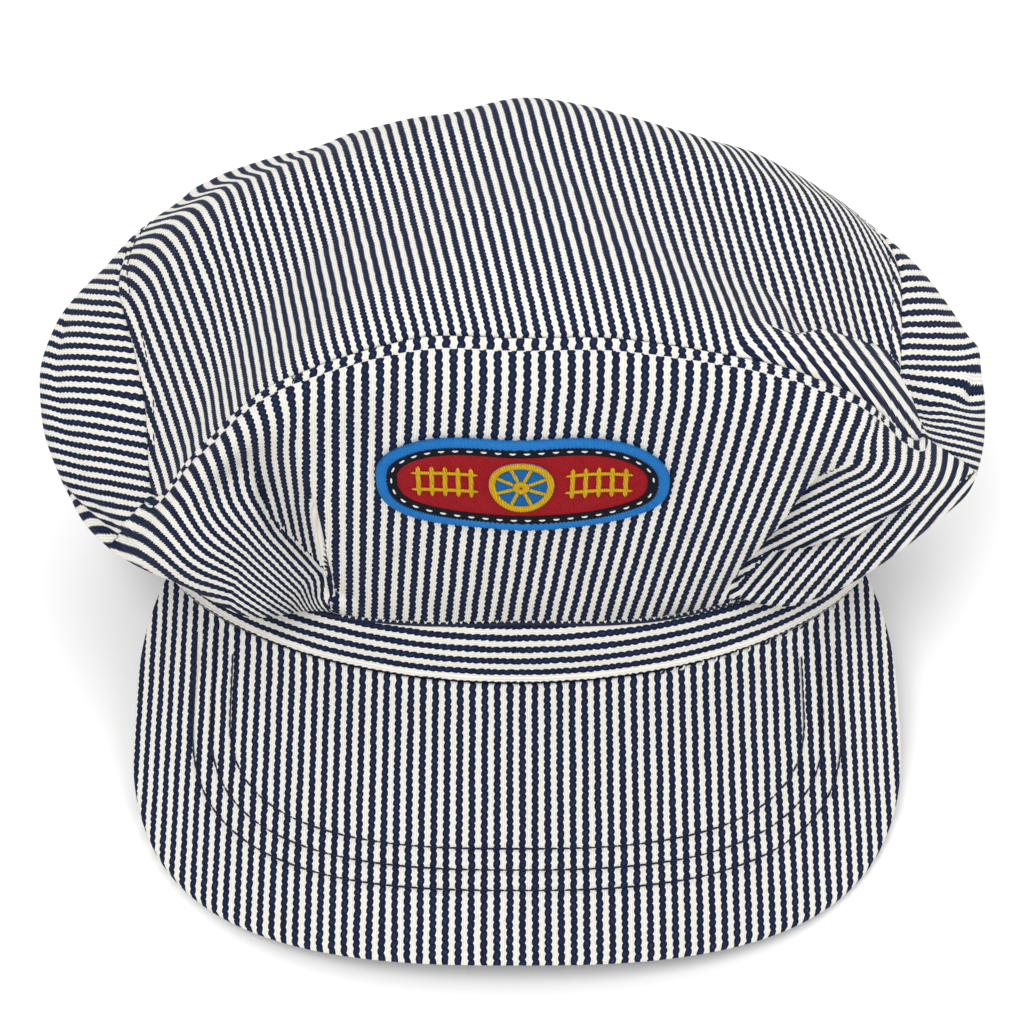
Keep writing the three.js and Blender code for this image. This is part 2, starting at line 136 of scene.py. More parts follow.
creaseShape = {
    "leftFade": (-78, -66),
    "rightFade": (80, 92),
    "highestLevel": 0.95,
    "edge": 0.7,
    "startFade": 0.3,
    "footFade": (0.62, 0.97),
    "footShare": 0.2,
    "deepest": -3.8,
    "proudest": 2.8,
}

# the photo's view of the cap, from above the visor
frontCamera = {"distance": 750.0, "elevation": math.radians(35)}


def degrees(value):
    return np.radians(value)


def fromFront(azimuth):
    # the same azimuth, between -180 and 180
    return (azimuth + 180) % 360 - 180


def blendStep(value, low, high):
    share = np.clip((np.asarray(value, float) - low) / (high - low), 0, 1)
    return share * share * (3 - 2 * share)


def neighbourSlopes(places, values):
    slopes = np.empty_like(values)
    slopes[..., 1:-1] = (values[..., 2:] - values[..., :-2]) / (places[2:] - places[:-2])
    slopes[..., 0] = (values[..., 1] - values[..., 0]) / (places[1] - places[0])
    slopes[..., -1] = (values[..., -1] - values[..., -2]) / (places[-1] - places[-2])
    return slopes


def smoothValue(places, values, slopes, place):
    # values and slopes hold one row per place asked for, or one row for all
    i = np.clip(np.searchsorted(places, place, side="left") - 1, 0, len(places) - 2)
    rows = np.arange(len(place)) if values.ndim == 2 else None
    take = (lambda table, k: table[rows, k]) if rows is not None else (lambda table, k: table[k])
    span = places[i + 1] - places[i]
    s = (place - places[i]) / span
    return (
        (1 + 2 * s) * (1 - s) ** 2 * take(values, i)
        + s * (1 - s) ** 2 * span * take(slopes, i)
        + s * s * (3 - 2 * s) * take(values, i + 1)
        + s * s * (s - 1) * span * take(slopes, i + 1)
    )


sectionTable = np.array(crownSections, float)
turnPlaces = np.concatenate([sectionTable[:, 0] + turn for turn in (-360, 0, 360)])
turnColumns = [np.tile(sectionTable[:, k], 3) for k in range(1, 9)]
turnSlopes = [neighbourSlopes(turnPlaces, column) for column in turnColumns]


def ellipseReach(azimuth, halfWidth, halfDepth):
    angle = degrees(azimuth)
    return 1 / np.hypot(np.sin(angle) / halfWidth, np.cos(angle) / halfDepth)


def atAzimuth(azimuth, reach, height):
    angle = degrees(azimuth)
    return np.stack([reach * np.sin(angle), -reach * np.cos(angle), height + 0 * reach], -1)


dropTable = np.array(footDrops, float)
dropSlopes = neighbourSlopes(dropTable[:, 0], dropTable[:, 1])


def footDrop(azimuth):
    return smoothValue(dropTable[:, 0], dropTable[:, 1], dropSlopes, fromFront(azimuth))


def rimReach(azimuth, inset=0.0):
    return ellipseReach(azimuth, capShape["rimHalfWidth"] - inset, capShape["rimHalfDepth"] - inset)


def footReach(drop):
    return drop * (capShape["bandLean"] / capShape["bandHeight"] + footFlare)


def smoothCrown(azimuth, level):
    # the crown without its folds, in curves through the sections, closed by a rounded top
    bandReach = rimReach(azimuth, capShape["bandLean"])
    foot = capShape["bandHeight"] + capShape["footLift"]
    drop = footDrop(azimuth)
    reaches = [bandReach + footReach(drop)]
    heights = [foot - drop]
    for k in range(4):
        out = smoothValue(turnPlaces, turnColumns[2 * k], turnSlopes[2 * k], azimuth)
        up = smoothValue(turnPlaces, turnColumns[2 * k + 1], turnSlopes[2 * k + 1], azimuth)
        reaches.append(out * reaches[k] if k == 3 else bandReach + out * capShape["crownOverhang"])
        heights.append(foot + up * capShape["crownRise"])
    reaches = np.stack(reaches + [0 * bandReach], -1)
    heights = np.stack(heights + [foot + capShape["crownRise"] + 0 * bandReach], -1)
    reachSlopes = neighbourSlopes(crownLevels, reaches)
    heightSlopes = neighbourSlopes(crownLevels, heights)
    reach = smoothValue(crownLevels, reaches, reachSlopes, level)
    height = smoothValue(crownLevels, heights, heightSlopes, level)
    span = 1 - crownLevels[4]
    share = (1 - level) / span
    roundTop = -(reaches[:, 4] ** 2) / (2 * capShape["crownTopRadius"])
    drop = heights[:, 4] - heights[:, 5]
    quartic = -heightSlopes[:, 4] * span - 3 * drop + roundTop
    cubic = drop - roundTop - quartic
    top = heights[:, 5] + roundTop * share**2 + cubic * share**3 + quartic * share**4
    return atAzimuth(azimuth, reach, np.where(level > crownLevels[4], top, height))


def outwardNormals(surface, azimuth, level):
    across = surface(azimuth + 0.25, level) - surface(azimuth - 0.25, level)
    along = surface(azimuth, np.minimum(level + 0.002, 1)) - surface(azimuth, np.maximum(level - 0.002, 0))
    normals = np.cross(across, along)
    lengths = np.linalg.norm(normals, axis=1, keepdims=True)
    return np.where(lengths > 1e-9, normals / np.maximum(lengths, 1e-9), np.array([0, 0, 1.0]))


foldShape = {"turnOver": 0.9, "power": 1.6}


def foldHeights(azimuth, level, reach):
    total = np.zeros_like(azimuth)
    for start, end, leftWidth, rightWidth, height in foldLines:
        turned = azimuth - np.round((azimuth - start[0]) / 360) * 360
        scale = degrees(1) * reach
        spanX = (end[0] - start[0]) * scale
        spanY = (end[1] - start[1]) * sectionLength
        x = (turned - start[0]) * scale
        y = (level - start[1]) * sectionLength
        share = np.clip((x * spanX + y * spanY) / (spanX**2 + spanY**2), 0, 1)
        offX = x - share * spanX
        offY = y - share * spanY
        side = offX * np.sign(spanY) - offY * spanX / max(abs(end[1] - start[1]) * sectionLength, 1)
        away = np.hypot(offX, offY)
        rightShare = blendStep(side / (away + 1e-6), -foldShape["turnOver"], foldShape["turnOver"])
        width = leftWidth + (rightWidth - leftWidth) * rightShare
        total += height * np.exp(-((away / width) ** foldShape["power"]))
    return total


def frontView(points):
    # places as seen from the front camera, in mm at the distance of the rim's middle
    rise, run = math.sin(frontCamera["elevation"]), math.cos(frontCamera["elevation"])
    depth = points[..., 2] * rise - points[..., 1] * run
    scale = frontCamera["distance"] / (frontCamera["distance"] - depth)
    return points[..., 0] * scale, (points[..., 1] * rise + points[..., 2] * run) * scale


def lineSide(right, up, line):
    # signed distance to a line, + on the left hand of its travel, and the share of it passed
    line = np.array(line)
    lengths = np.concatenate([[0], np.cumsum(np.hypot(*np.diff(line, axis=0).T))])
    nearest = np.full(right.shape, np.inf)
    signed = np.zeros(right.shape)
    passed = np.zeros(right.shape)
    for k in range(len(line) - 1):
        run = line[k + 1] - line[k]
        offX, offY = right - line[k][0], up - line[k][1]
        share = np.clip((offX * run[0] + offY * run[1]) / (run @ run), 0, 1)
        away = np.hypot(offX - share * run[0], offY - share * run[1])
        side = np.where(run[0] * offY - run[1] * offX > 0, 1.0, -1.0)
        closer = away < nearest - 1e-9
        nearest = np.where(closer, away, nearest)
        signed = np.where(closer, side * away, signed)
        passed = np.where(closer, (lengths[k] + share * np.hypot(*run)) / lengths[-1], passed)
    return signed, passed


def creaseHeights(azimuth, level, points):
    # cloth stands up or sinks on both hands of a crease, and steps over its edge
    right, up = frontView(points)
    turned = fromFront(azimuth)
    total = np.zeros(len(azimuth))
    leftFade, rightFade = creaseShape["leftFade"], creaseShape["rightFade"]
    near = (turned > leftFade[0]) & (turned < rightFade[1]) & (level < creaseShape["highestLevel"])
    if not near.any():
        return total
    right, up, turned, level = right[near], up[near], turned[near], level[near]
    shown = blendStep(turned, *leftFade) * (1 - blendStep(turned, *rightFade))
    edge = creaseShape["edge"]
    footFall = 1 - creaseShape["footShare"]
    lift = np.zeros(len(right))
    for line, leftHeight, leftWidth, rightHeight, rightWidth, lowest, highest in creaseLines.values():
        signed, passed = lineSide(right, up, line)
        onLeft = leftHeight * np.exp(-np.maximum(signed, 0) / leftWidth)
        onRight = rightHeight * np.exp(np.minimum(signed, 0) / rightWidth)
        share = blendStep(signed, -edge, edge)
        inside = blendStep(level, lowest - 0.04, lowest + 0.04)
        inside = inside * (1 - blendStep(level, highest - 0.05, highest + 0.05))
        ended = 1 - footFall * blendStep(passed, *creaseShape["footFade"])
        if lowest > 0.5:
            ended = ended * (1 - blendStep(passed, 0.9, 1.0))
        risen = np.where(signed < 0, blendStep(level, 0, 0.10), 1)
        started = blendStep(passed, 0, creaseShape["startFade"])
        lift += (onLeft * share + onRight * (1 - share)) * started * inside * ended * risen
    total[near] = np.clip(lift, creaseShape["deepest"], creaseShape["proudest"]) * shown
    return total


# long soft waves that worn cotton keeps, as sums of plain sines with fixed phases
clothWaves = {
    "count": 9,
    "height": 0.34,
    "shortest": 17.0,
    "longest": 60.0,
    "usual": 45.0,
    "seed": 11,
}
waveRandom = np.random.default_rng(clothWaves["seed"])
waveTurns = waveRandom.uniform(0, 2 * np.pi, clothWaves["count"])
wavePhases = waveRandom.uniform(0, 2 * np.pi, clothWaves["count"])
waveLengths = np.geomspace(clothWaves["shortest"], clothWaves["longest"], clothWaves["count"])


def clothWave(points):
    total = np.zeros(len(points))
    for turn, phase, length in zip(waveTurns, wavePhases, waveLengths):
        direction = np.array([math.cos(turn), math.sin(turn), math.sin(2 * turn)])
        total += np.sin(points @ direction * (2 * np.pi / length) + phase) * (length / clothWaves["usual"])
    return total * clothWaves["height"] / 2


def crownSurface(azimuth, level):
    points = smoothCrown(azimuth, level)
    reach = np.hypot(points[:, 0], points[:, 1])
    aboveBand = blendStep(level, 0, crownLevels[1])
    lift = foldHeights(azimuth, level, reach) * aboveBand + clothWave(points) * aboveBand
    lift = lift + creaseHeights(azimuth, level, points) * blendStep(level, -0.01, 0.035)
    return points + outwardNormals(smoothCrown, azimuth, level) * lift[:, None]


# the cap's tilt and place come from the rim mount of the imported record
rimMount = frame["record"]["mounts"][0]
capTilt = math.atan2(-rimMount["axis"][1], -rimMount["axis"][2])
rimBack = capShape["rimHalfDepth"] - capShape["bandWall"] / 2
capTurn = np.array([
    [1, 0, 0],
    [0, math.cos(capTilt), math.sin(capTilt)],
    [0, -math.sin(capTilt), math.cos(capTilt)],
])
capPlace = np.array(rimMount["pos_m"]) * 1000 - capTurn @ np.array([0, rimBack, 0])


def toFrame(points):
    return (np.asarray(points) @ capTurn.T + capPlace) / 1000


def addMesh(name, vertices, faces, material, replaced=(), clothUv=None):
    mesh = bpy.data.meshes.new(name)
    mesh.from_pydata(toFrame(vertices).tolist(), [], faces)
    if clothUv is not None:
        layer = mesh.uv_layers.new(name="cloth")
        layer.data.foreach_set("uv", np.asarray(clothUv, np.float32).ravel())
    mesh.polygons.foreach_set("use_smooth", [True] * len(mesh.polygons))
    mesh.materials.append(material)
    mesh.update()
    piece = bpy.data.objects.new(name, mesh)
    bpy.context.scene.collection.objects.link(piece)
    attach(piece, "root")
    if replaced:
        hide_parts(*replaced)
    return piece


def gridFaces(rows, columns, start, wraps, flipped):
    # quads of a grid with their own uv corners, so that a ring's last column doesn't jump back
    lastColumn = columns if wraps else columns - 1
    row, column = np.meshgrid(np.arange(rows - 1), np.arange(lastColumn), indexing="ij")
    corners = [(row, column), (row, column + 1), (row + 1, column + 1), (row + 1, column)]
    if flipped:
        corners.reverse()
    width = columns + (1 if wraps else 0)
    vertexIds = np.stack([start + r * columns + c % columns for r, c in corners], -1).reshape(-1, 4)
    uvIds = np.stack([r * width + c for r, c in corners], -1).reshape(-1, 4)
    return vertexIds, uvIds


def wallMesh(outer, inner, uv, wraps, cornerUv=None, topRim=True):
    # a cloth wall between two grids; uv has one more column on a ring; cornerUv gives the outer
    # quads corners of their own, so that a stripe can stop dead at a crease
    rows, columns = outer.shape[:2]
    vertices = np.concatenate([outer.reshape(-1, 3), inner.reshape(-1, 3)])
    flatUv = uv.reshape(-1, 2)
    innerStart = rows * columns
    outerFaces, outerUv = gridFaces(rows, columns, 0, wraps, False)
    innerFaces, innerUv = gridFaces(rows, columns, innerStart, wraps, True)
    faces = [outerFaces, innerFaces]
    uvIds = [outerUv, innerUv]
    width = columns + (1 if wraps else 0)
    lastColumn = columns if wraps else columns - 1
    c = np.arange(lastColumn)
    rims = [(0, True)] + ([(rows - 1, False)] if topRim else [])
    for row, forward in rims:
        a, b = (c, c + 1) if forward else (c + 1, c)
        ids = [innerStart + row * columns + a % columns, innerStart + row * columns + b % columns,
               row * columns + b % columns, row * columns + a % columns]
        faces.append(np.stack(ids, -1))
        uvIds.append(np.stack([row * width + a, row * width + b, row * width + b, row * width + a], -1))
    if not wraps:
        r = np.arange(rows - 1)
        for column, forward in ((0, False), (columns - 1, True)):
            a, b = (r, r + 1) if forward else (r + 1, r)
            ids = [innerStart + a * columns + column, innerStart + b * columns + column,
                   b * columns + column, a * columns + column]
            faces.append(np.stack(ids, -1))
            uvIds.append(np.stack([a * width + column, b * width + column] * 2, -1)[:, [0, 1, 3, 2]])
    clothUv = flatUv[np.concatenate(uvIds).ravel()]
    if cornerUv is not None:
        flatCorners = cornerUv.reshape(-1, 2)
        clothUv[:len(flatCorners)] = flatCorners
    return vertices, np.concatenate(faces).tolist(), clothUv


def quadCorners(grid):
    # the four corners of every quad, in the order of gridFaces
    return np.stack([grid[:-1, :-1], grid[:-1, 1:], grid[1:, 1:], grid[1:, :-1]], -1)


def gridLengths(points, axis):
    steps = np.linalg.norm(np.diff(points, axis=axis), axis=-1)
    zero = np.zeros_like(np.take(steps, [0], axis))
    return np.concatenate([zero, np.cumsum(steps, axis)], axis)


def smoothGrid(azimuth, level):
    return smoothCrown(azimuth.ravel(), level.ravel()).reshape(*azimuth.shape, 3)


# limits that keep stripes nearly level with their row from running away sideways
stripeSlopes = {"least": 0.15, "most": 2.5, "shift": 3.5}


def alongStripes(points, across):
    # length along the stripes, followed row by row from the top edge down
    least, furthest = stripeSlopes["least"], stripeSlopes["shift"]
    widths = gridLengths(points, 1)
    along = np.zeros_like(across)
    for row in range(len(across) - 2, -1, -1):
        step = np.linalg.norm(points[row + 1] - points[row], axis=-1)
        slopeUp = (across[row + 1] - across[row]) / np.maximum(step, 1e-6)
        slopeAcross = np.gradient(across[row]) / np.maximum(np.gradient(widths[row]), 1e-6)
        steepness = np.where(np.abs(slopeAcross) < least, least, slopeAcross)
        shift = np.clip(-slopeUp / steepness, -furthest, furthest)
        shift = np.where(np.abs(slopeAcross) > stripeSlopes["most"], 0, shift) * step
        source = widths[row] + shift
        along[row] = np.interp(source, widths[row], along[row + 1]) + np.hypot(step, shift)
    return along


def crownGrid(azimuths, rows, lower, upper):
    # nominal azimuths and levels of a panel, with the leaning end seams worked in
    level = lower[None, :] + (upper - lower)[None, :] * np.linspace(0, 1, rows)[:, None]
    azimuth = np.repeat(azimuths[None, :], rows, 0)
    turned = np.where(azimuth > 180, azimuth - 360, azimuth)
    isLeft = turned < 0
    end = np.where(isLeft, capShape["frontEnds"][0], capShape["frontEnds"][1])
    lean = np.where(isLeft, -capShape["cornerLeans"][0], capShape["cornerLeans"][1])
    nearness = 1 - blendStep(np.abs(turned - end), 0, capShape["cornerReach"])
    leaned = azimuth + lean * nearness * np.sqrt(np.clip(1 - level / (seamLevel - 0.001), 0, 1))
    return leaned, level


def centreEdge(azimuth):
    # level of the centre panel's lower edge
    span = capShape["backSeamFoot"] - capShape["backSeamTop"]
    return seamLevel * np.clip((capShape["backSeamFoot"] - np.abs(fromFront(azimuth))) / span, 0, 1)


seamTurn = math.degrees(capShape["seamGap"] / 2 / 100)
seamStep = capShape["seamGap"] / 2 / sectionLength


def panelWalls(azimuth, level, seamPress):
    # outer and inner face of a panel, pressed in along its seams
    shape = azimuth.shape
    flat = azimuth.ravel(), level.ravel()
    normals = outwardNormals(smoothCrown, *flat)
    outer = crownSurface(*flat) + normals * seamPress.ravel()[:, None]
    inner = outer - normals * capShape["clothWall"]
    return outer.reshape(*shape, 3), inner.reshape(*shape, 3)


def groove(distance, width, depth):
    return -depth * np.exp(-((distance / width) ** 2))


# materials
stripeCloth = {
    "pitch": 3.0,
    "bead": 1.85,
    "narrowest": 0.18,
    "lobe": 0.105,
    "navy": (0.0050, 0.0092, 0.030, 1),
    # lighter navy for the painted highlight on each bead's crown and for its random specks
    "navySpeckAndHighlight": (0.030, 0.062, 0.160, 1),
    "white": (0.78, 0.76, 0.71, 1),
    "rib": (0.50, 0.465, 0.385, 1),
    "relief": 0.00030,
}


class NodeBench:
    # short hand for the many small sums that a weave needs
    def __init__(self, name):
        self.material = bpy.data.materials.new(name)
        self.material.use_nodes = True
        self.tree = self.material.node_tree
        self.shader = self.tree.nodes["Principled BSDF"]

    def node(self, kind, **settings):
        made = self.tree.nodes.new(kind)
        for key, value in settings.items():
            setattr(made, key, value)
        return made

    def feed(self, value, socket):
        if isinstance(value, bpy.types.NodeSocket):
            self.tree.links.new(value, socket)
        else:
            socket.default_value = value

    def sum(self, operation, *values):
        made = self.node("ShaderNodeMath", operation=operation)
        for value, socket in zip(values, made.inputs):
            self.feed(value, socket)
        return made.outputs[0]

    def times(self, first, second):
        return self.sum("MULTIPLY", first, second)

    def plus(self, first, second):
        return self.sum("ADD", first, second)

    def minus(self, first, second):
        return self.sum("SUBTRACT", first, second)

    def smooth(self, value, low, high, fromTo=(0.0, 1.0)):
        made = self.node("ShaderNodeMapRange", interpolation_type="SMOOTHSTEP")
        self.feed(value, made.inputs["Value"])
        self.feed(low, made.inputs["From Min"])
        self.feed(high, made.inputs["From Max"])
        made.inputs["To Min"].default_value = fromTo[0]
        made.inputs["To Max"].default_value = fromTo[1]
        return made.outputs["Result"]

    def mix(self, share, first, second, blend="MIX"):
        made = self.node("ShaderNodeMix", data_type="RGBA", blend_type=blend)
        self.feed(share, made.inputs[0])
        self.feed(first, made.inputs[6])
        self.feed(second, made.inputs[7])
        return made.outputs[2]

    def join(self, x, y, z=0.0):
        made = self.node("ShaderNodeCombineXYZ")
        for value, socket in zip((x, y, z), made.inputs):
            self.feed(value, socket)
        return made.outputs[0]

    def noise(self, vector, scale, detail=2.0, rough=0.5):
        made = self.node("ShaderNodeTexNoise")
        self.feed(vector, made.inputs["Vector"])
        made.inputs["Scale"].default_value = scale
        made.inputs["Detail"].default_value = detail
        made.inputs["Roughness"].default_value = rough
        return made.outputs["Fac"]

    def chance(self, vector):
        made = self.node("ShaderNodeTexWhiteNoise", noise_dimensions="3D")
        self.feed(vector, made.inputs["Vector"])
        return made.outputs["Value"]

    def bump(self, height, distance, strength=1.0):
        made = self.node("ShaderNodeBump")
        made.inputs["Distance"].default_value = distance
        made.inputs["Strength"].default_value = strength
        self.feed(height, made.inputs["Height"])
        self.tree.links.new(made.outputs[0], self.shader.inputs["Normal"])

    def place(self):
        return self.node("ShaderNodeTexCoord").outputs["Object"]

    def coat(self, color, rough, specular):
        self.feed(color, self.shader.inputs["Base Color"])
        self.shader.inputs["Roughness"].default_value = rough
        self.shader.inputs["Specular IOR Level"].default_value = specular
        return self.material


def stripedTwill(name, pitch=stripeCloth["pitch"], bead=stripeCloth["bead"]):
    # navy cords with beaded edges between off-white ribs; uv is in mm across and along
    bench = NodeBench(name)
    uv = bench.node("ShaderNodeUVMap", uv_map="cloth").outputs[0]
    split = bench.node("ShaderNodeSeparateXYZ")
    bench.feed(uv, split.inputs[0])
    wander = bench.sum("MULTIPLY_ADD", bench.noise(uv, 0.16, 2.0), 0.5, -0.25)
    across = bench.sum("DIVIDE", bench.plus(split.outputs[0], wander), pitch)
    cord = bench.sum("FLOOR", across)
    inCord = bench.minus(bench.minus(across, cord), 0.5)
    fromMiddle = bench.sum("ABSOLUTE", inCord)
    start = bench.chance(bench.join(cord, 3.0))
    driftPlace = bench.join(bench.times(cord, 5.3), split.outputs[1])
    drift = bench.times(bench.noise(driftPlace, 0.22), 1.1)
    slant = bench.plus(bench.times(inCord, 0.55), drift)
    phase = bench.plus(bench.sum("DIVIDE", split.outputs[1], bead), start)
    phase = bench.plus(phase, slant)
    beadWave = bench.sum("ABSOLUTE", bench.sum("SINE", bench.times(phase, math.pi)))
    lobe = bench.sum("POWER", beadWave, 0.62)
    jitter = bench.chance(bench.join(cord, bench.sum("FLOOR", phase)))
    lobeSize = bench.sum("MULTIPLY_ADD", jitter, 0.028, stripeCloth["lobe"])
    half = bench.sum("MULTIPLY_ADD", lobe, lobeSize, stripeCloth["narrowest"])
    inner = bench.minus(half, 0.028)
    outer = bench.plus(half, 0.028)
    navyShare = bench.smooth(fromMiddle, inner, outer, (1.0, 0.0))
    fromRib = bench.minus(0.5, fromMiddle)
    fromPair = bench.sum("ABSOLUTE", bench.minus(fromRib, 0.085))
    rib = bench.smooth(fromPair, 0.008, 0.055, (1.0, 0.0))
    threadPlace = bench.join(bench.times(split.outputs[0], 5.0), split.outputs[1])
    thread = bench.noise(threadPlace, 1.3, 3.0, 0.6)
    ribShare = bench.times(rib, bench.sum("MULTIPLY_ADD", thread, 0.9, 0.05))
    white = bench.mix(ribShare, stripeCloth["white"], stripeCloth["rib"])
    # each raised bead is painted lighter in its middle: a painted highlight on its crown, broken up by
    # random specks and a random tone per bead
    core = bench.smooth(fromMiddle, 0.02, 0.20, (1.0, 0.0))
    speck = bench.smooth(bench.noise(uv, 1.5, 2.0, 0.7), 0.50, 0.72)
    inBead = bench.times(core, bench.sum("POWER", lobe, 2.0))
    speckAndHighlightShare = bench.times(inBead, bench.sum("MULTIPLY_ADD", speck, 0.7, 0.3))
    speckAndHighlightShare = bench.times(speckAndHighlightShare, bench.sum("MULTIPLY_ADD", jitter, 0.7, 0.3))
    navy = bench.mix(speckAndHighlightShare, stripeCloth["navy"], stripeCloth["navySpeckAndHighlight"])
    color = bench.mix(navyShare, white, navy)
    fade = bench.smooth(bench.noise(bench.place(), 22.0, 3.0), 0.35, 0.75)
    color = bench.mix(bench.times(fade, 0.10), color, (0.62, 0.60, 0.60, 1), "MULTIPLY")
    squared = bench.sum("POWER", bench.sum("DIVIDE", fromMiddle, half), 2.0)
    roundness = bench.sum("SQRT", bench.sum("MAXIMUM", 0.0, bench.minus(1.0, squared)))
    beadRelief = bench.times(roundness, bench.sum("MULTIPLY_ADD", lobe, 0.75, 0.25))
    ribWave = bench.sum("SINE", bench.times(fromRib, 2 * math.pi / 0.13))
    whiteRelief = bench.sum("MULTIPLY_ADD", ribWave, 0.16, 0.42)
    whitePart = bench.times(bench.minus(1.0, navyShare), whiteRelief)
    relief = bench.plus(bench.times(navyShare, beadRelief), whitePart)
    fibre = bench.sum("MULTIPLY_ADD", thread, 0.30, relief)
    bench.bump(fibre, stripeCloth["relief"], 0.8)
    return bench.coat(color, 0.86, 0.12)


def plainThread(name, color, rough=0.55, twist=1400.0):
    # embroidery or sewing thread: fine twisted strands and a slight unevenness of colour
    bench = NodeBench(name)
    place = bench.place()
    strands = bench.node("ShaderNodeTexWave", wave_type="BANDS", bands_direction="DIAGONAL")
    bench.feed(place, strands.inputs["Vector"])
    strands.inputs["Scale"].default_value = twist
    strands.inputs["Distortion"].default_value = 1.5
    uneven = bench.noise(place, 900.0, 3.0)
    darker = tuple(channel * 0.55 for channel in color[:3]) + (1,)
    color = bench.mix(bench.times(uneven, 0.55), color, darker)
    bench.bump(bench.plus(strands.outputs["Fac"], uneven), 0.00008, 0.7)
    return bench.coat(color, rough, 0.18)


def satinField(name, color, turn):
    # close rows of satin stitches in one direction
    bench = NodeBench(name)
    place = bench.node("ShaderNodeMapping")
    bench.feed(bench.place(), place.inputs["Vector"])
    place.inputs["Rotation"].default_value = (0, turn, 0)
    strands = bench.node("ShaderNodeTexWave", wave_type="BANDS", bands_direction="X")
    bench.feed(place.outputs[0], strands.inputs["Vector"])
    strands.inputs["Scale"].default_value = 620.0
    strands.inputs["Distortion"].default_value = 2.2
    strands.inputs["Detail Scale"].default_value = 2.0
    uneven = bench.noise(place.outputs[0], 500.0, 3.0)
    darker = tuple(channel * 0.45 for channel in color[:3]) + (1,)
    shade = bench.times(bench.plus(strands.outputs["Fac"], uneven), 0.45)
    bench.bump(bench.sum("MULTIPLY_ADD", uneven, 0.5, strands.outputs["Fac"]), 0.00025, 0.9)
    return bench.coat(bench.mix(shade, color, darker), 0.6, 0.14)


crownTwill = stripedTwill("crown twill")
topTwill = stripedTwill("top twill", 2.8, 1.75)
visorTwill = stripedTwill("visor twill", 2.95, 1.8)
bandTwill = stripedTwill("band twill", 2.9, 1.8)
print("stage 2: cloth woven")

# crown front, the half-moon; its stripes are laid out in the front view
frontCut = {
    "columns": 300,
    "rows": 150,
    "hemWidth": 3.2,
    "seamGroove": (0.7, 0.55),
    "hemGroove": (0.55, 0.45),
    "hemRise": 0.35,
    "hemShift": 1.45,
    "pitchSeen": 3.814,
    "anchor": -45.0,
    "fanTop": 30.8,
    "fanBottom": -24.8,
    "fanSqueeze": 0.14,
    "fanPower": 1.3,
    "fanExtra": 0.035,
    "fanReach": 124,
    "leftFoot": (-48.1, -27.9),
    "leftReach": 54.3,
    "leftTurn": 4.15,
    "leftBend": (15.0, 10.5),
    "leftFoldTurn": 44.4,
    "leftFoldDrop": 13.0,
    "leftTaken": 0.7,
    "leftBendTurns": (0, 11.5, 44.4),
    "leftBendShares": (0, 0.67, 1),
    "leftFlapFade": (28, 42),
    "leftFoldFade": (3, 11),
    "leftTakenFade": (30, 45),
    "leftDrawn": 26,
    "rightBend": (82.2, 12.7),
    "rightSqueeze": 0.24,
    "rightSlope": math.radians(27),
    "rightStart": 2.84,
    "rightCount": 33.8,
    "rightPitch": 3.62,
    "rightWidening": 0.00375,
    "tuckSlope": math.radians(50),
    "tuckPitch": 2.46,
}


def fanStripes(right, up):
    # upright at the seam, drawn together towards the band except at the anchor
    span = frontCut["fanTop"] - frontCut["fanBottom"]
    share = np.clip((frontCut["fanTop"] - up) / span, 0, 1.3) ** frontCut["fanPower"]
    offset = right - frontCut["anchor"]
    start = offset
    for _ in range(6):
        further = np.clip(start / frontCut["fanReach"], 0, 1.3) ** 3
        squeeze = np.where(start < 0, 0, frontCut["fanSqueeze"] + frontCut["fanExtra"] * further)
        start = offset / (1 - squeeze * share)
    return start / frontCut["pitchSeen"]


def leftStripes(right, up, main, onFlap, pleatShare):
    # rays from the foot of the left pleat that turn upright towards the seam
    footX, footY = frontCut["leftFoot"]
    x, y = footX - right, up - footY
    reach = np.hypot(x, y)
    turn = np.degrees(np.arctan2(x, y))
    bending = 1 - blendStep(reach, 0.42 * frontCut["leftReach"], frontCut["leftReach"])
    flapShare = onFlap * (1 - blendStep(reach, *frontCut["leftFlapFade"]))
    wide, narrow = frontCut["leftBend"]
    bend = (wide + (narrow - wide) * flapShare)
    bend = bend * np.interp(turn, frontCut["leftBendTurns"], frontCut["leftBendShares"])
    turned = turn - bend * bending
    nearFoot = 1 - blendStep(reach, *frontCut["leftFoldFade"])
    fold = frontCut["leftFoldTurn"] - frontCut["leftFoldDrop"] * nearFoot - bend * bending
    spread = np.clip(reach / frontCut["leftDrawn"], 0.02, 1) ** 0.75
    turned = np.where(onFlap, fold + (turned - fold) * spread, turned * spread)
    taken = 1 - blendStep(reach, *frontCut["leftTakenFade"])
    taken = frontCut["leftTaken"] * taken * np.clip(reach / 12, 0, 1)
    rays = -1 - (turned - 0.2) / frontCut["leftTurn"] - np.where(onFlap, 0, taken)
    return rays * pleatShare + main * (1 - pleatShare)


def rightStripes(right, up):
    # from upright at the seam round to a shallow slope behind the right pleat
    x, y = right - frontCut["rightBend"][0], frontCut["rightBend"][1] - up
    turn = np.arctan2(y, x)
    last = math.pi / 2 - frontCut["rightSlope"]
    straight = x * math.cos(last) + y * math.sin(last)
    away = np.where(y < 0, x, np.where(turn > last, straight, np.hypot(x, y)))
    away = away / (1 - frontCut["rightSqueeze"] * blendStep(turn, 0, last))
    seen = away + frontCut["rightStart"]
    count = seen / frontCut["rightPitch"] * (1 + frontCut["rightWidening"] * seen)
    return frontCut["rightCount"] + count


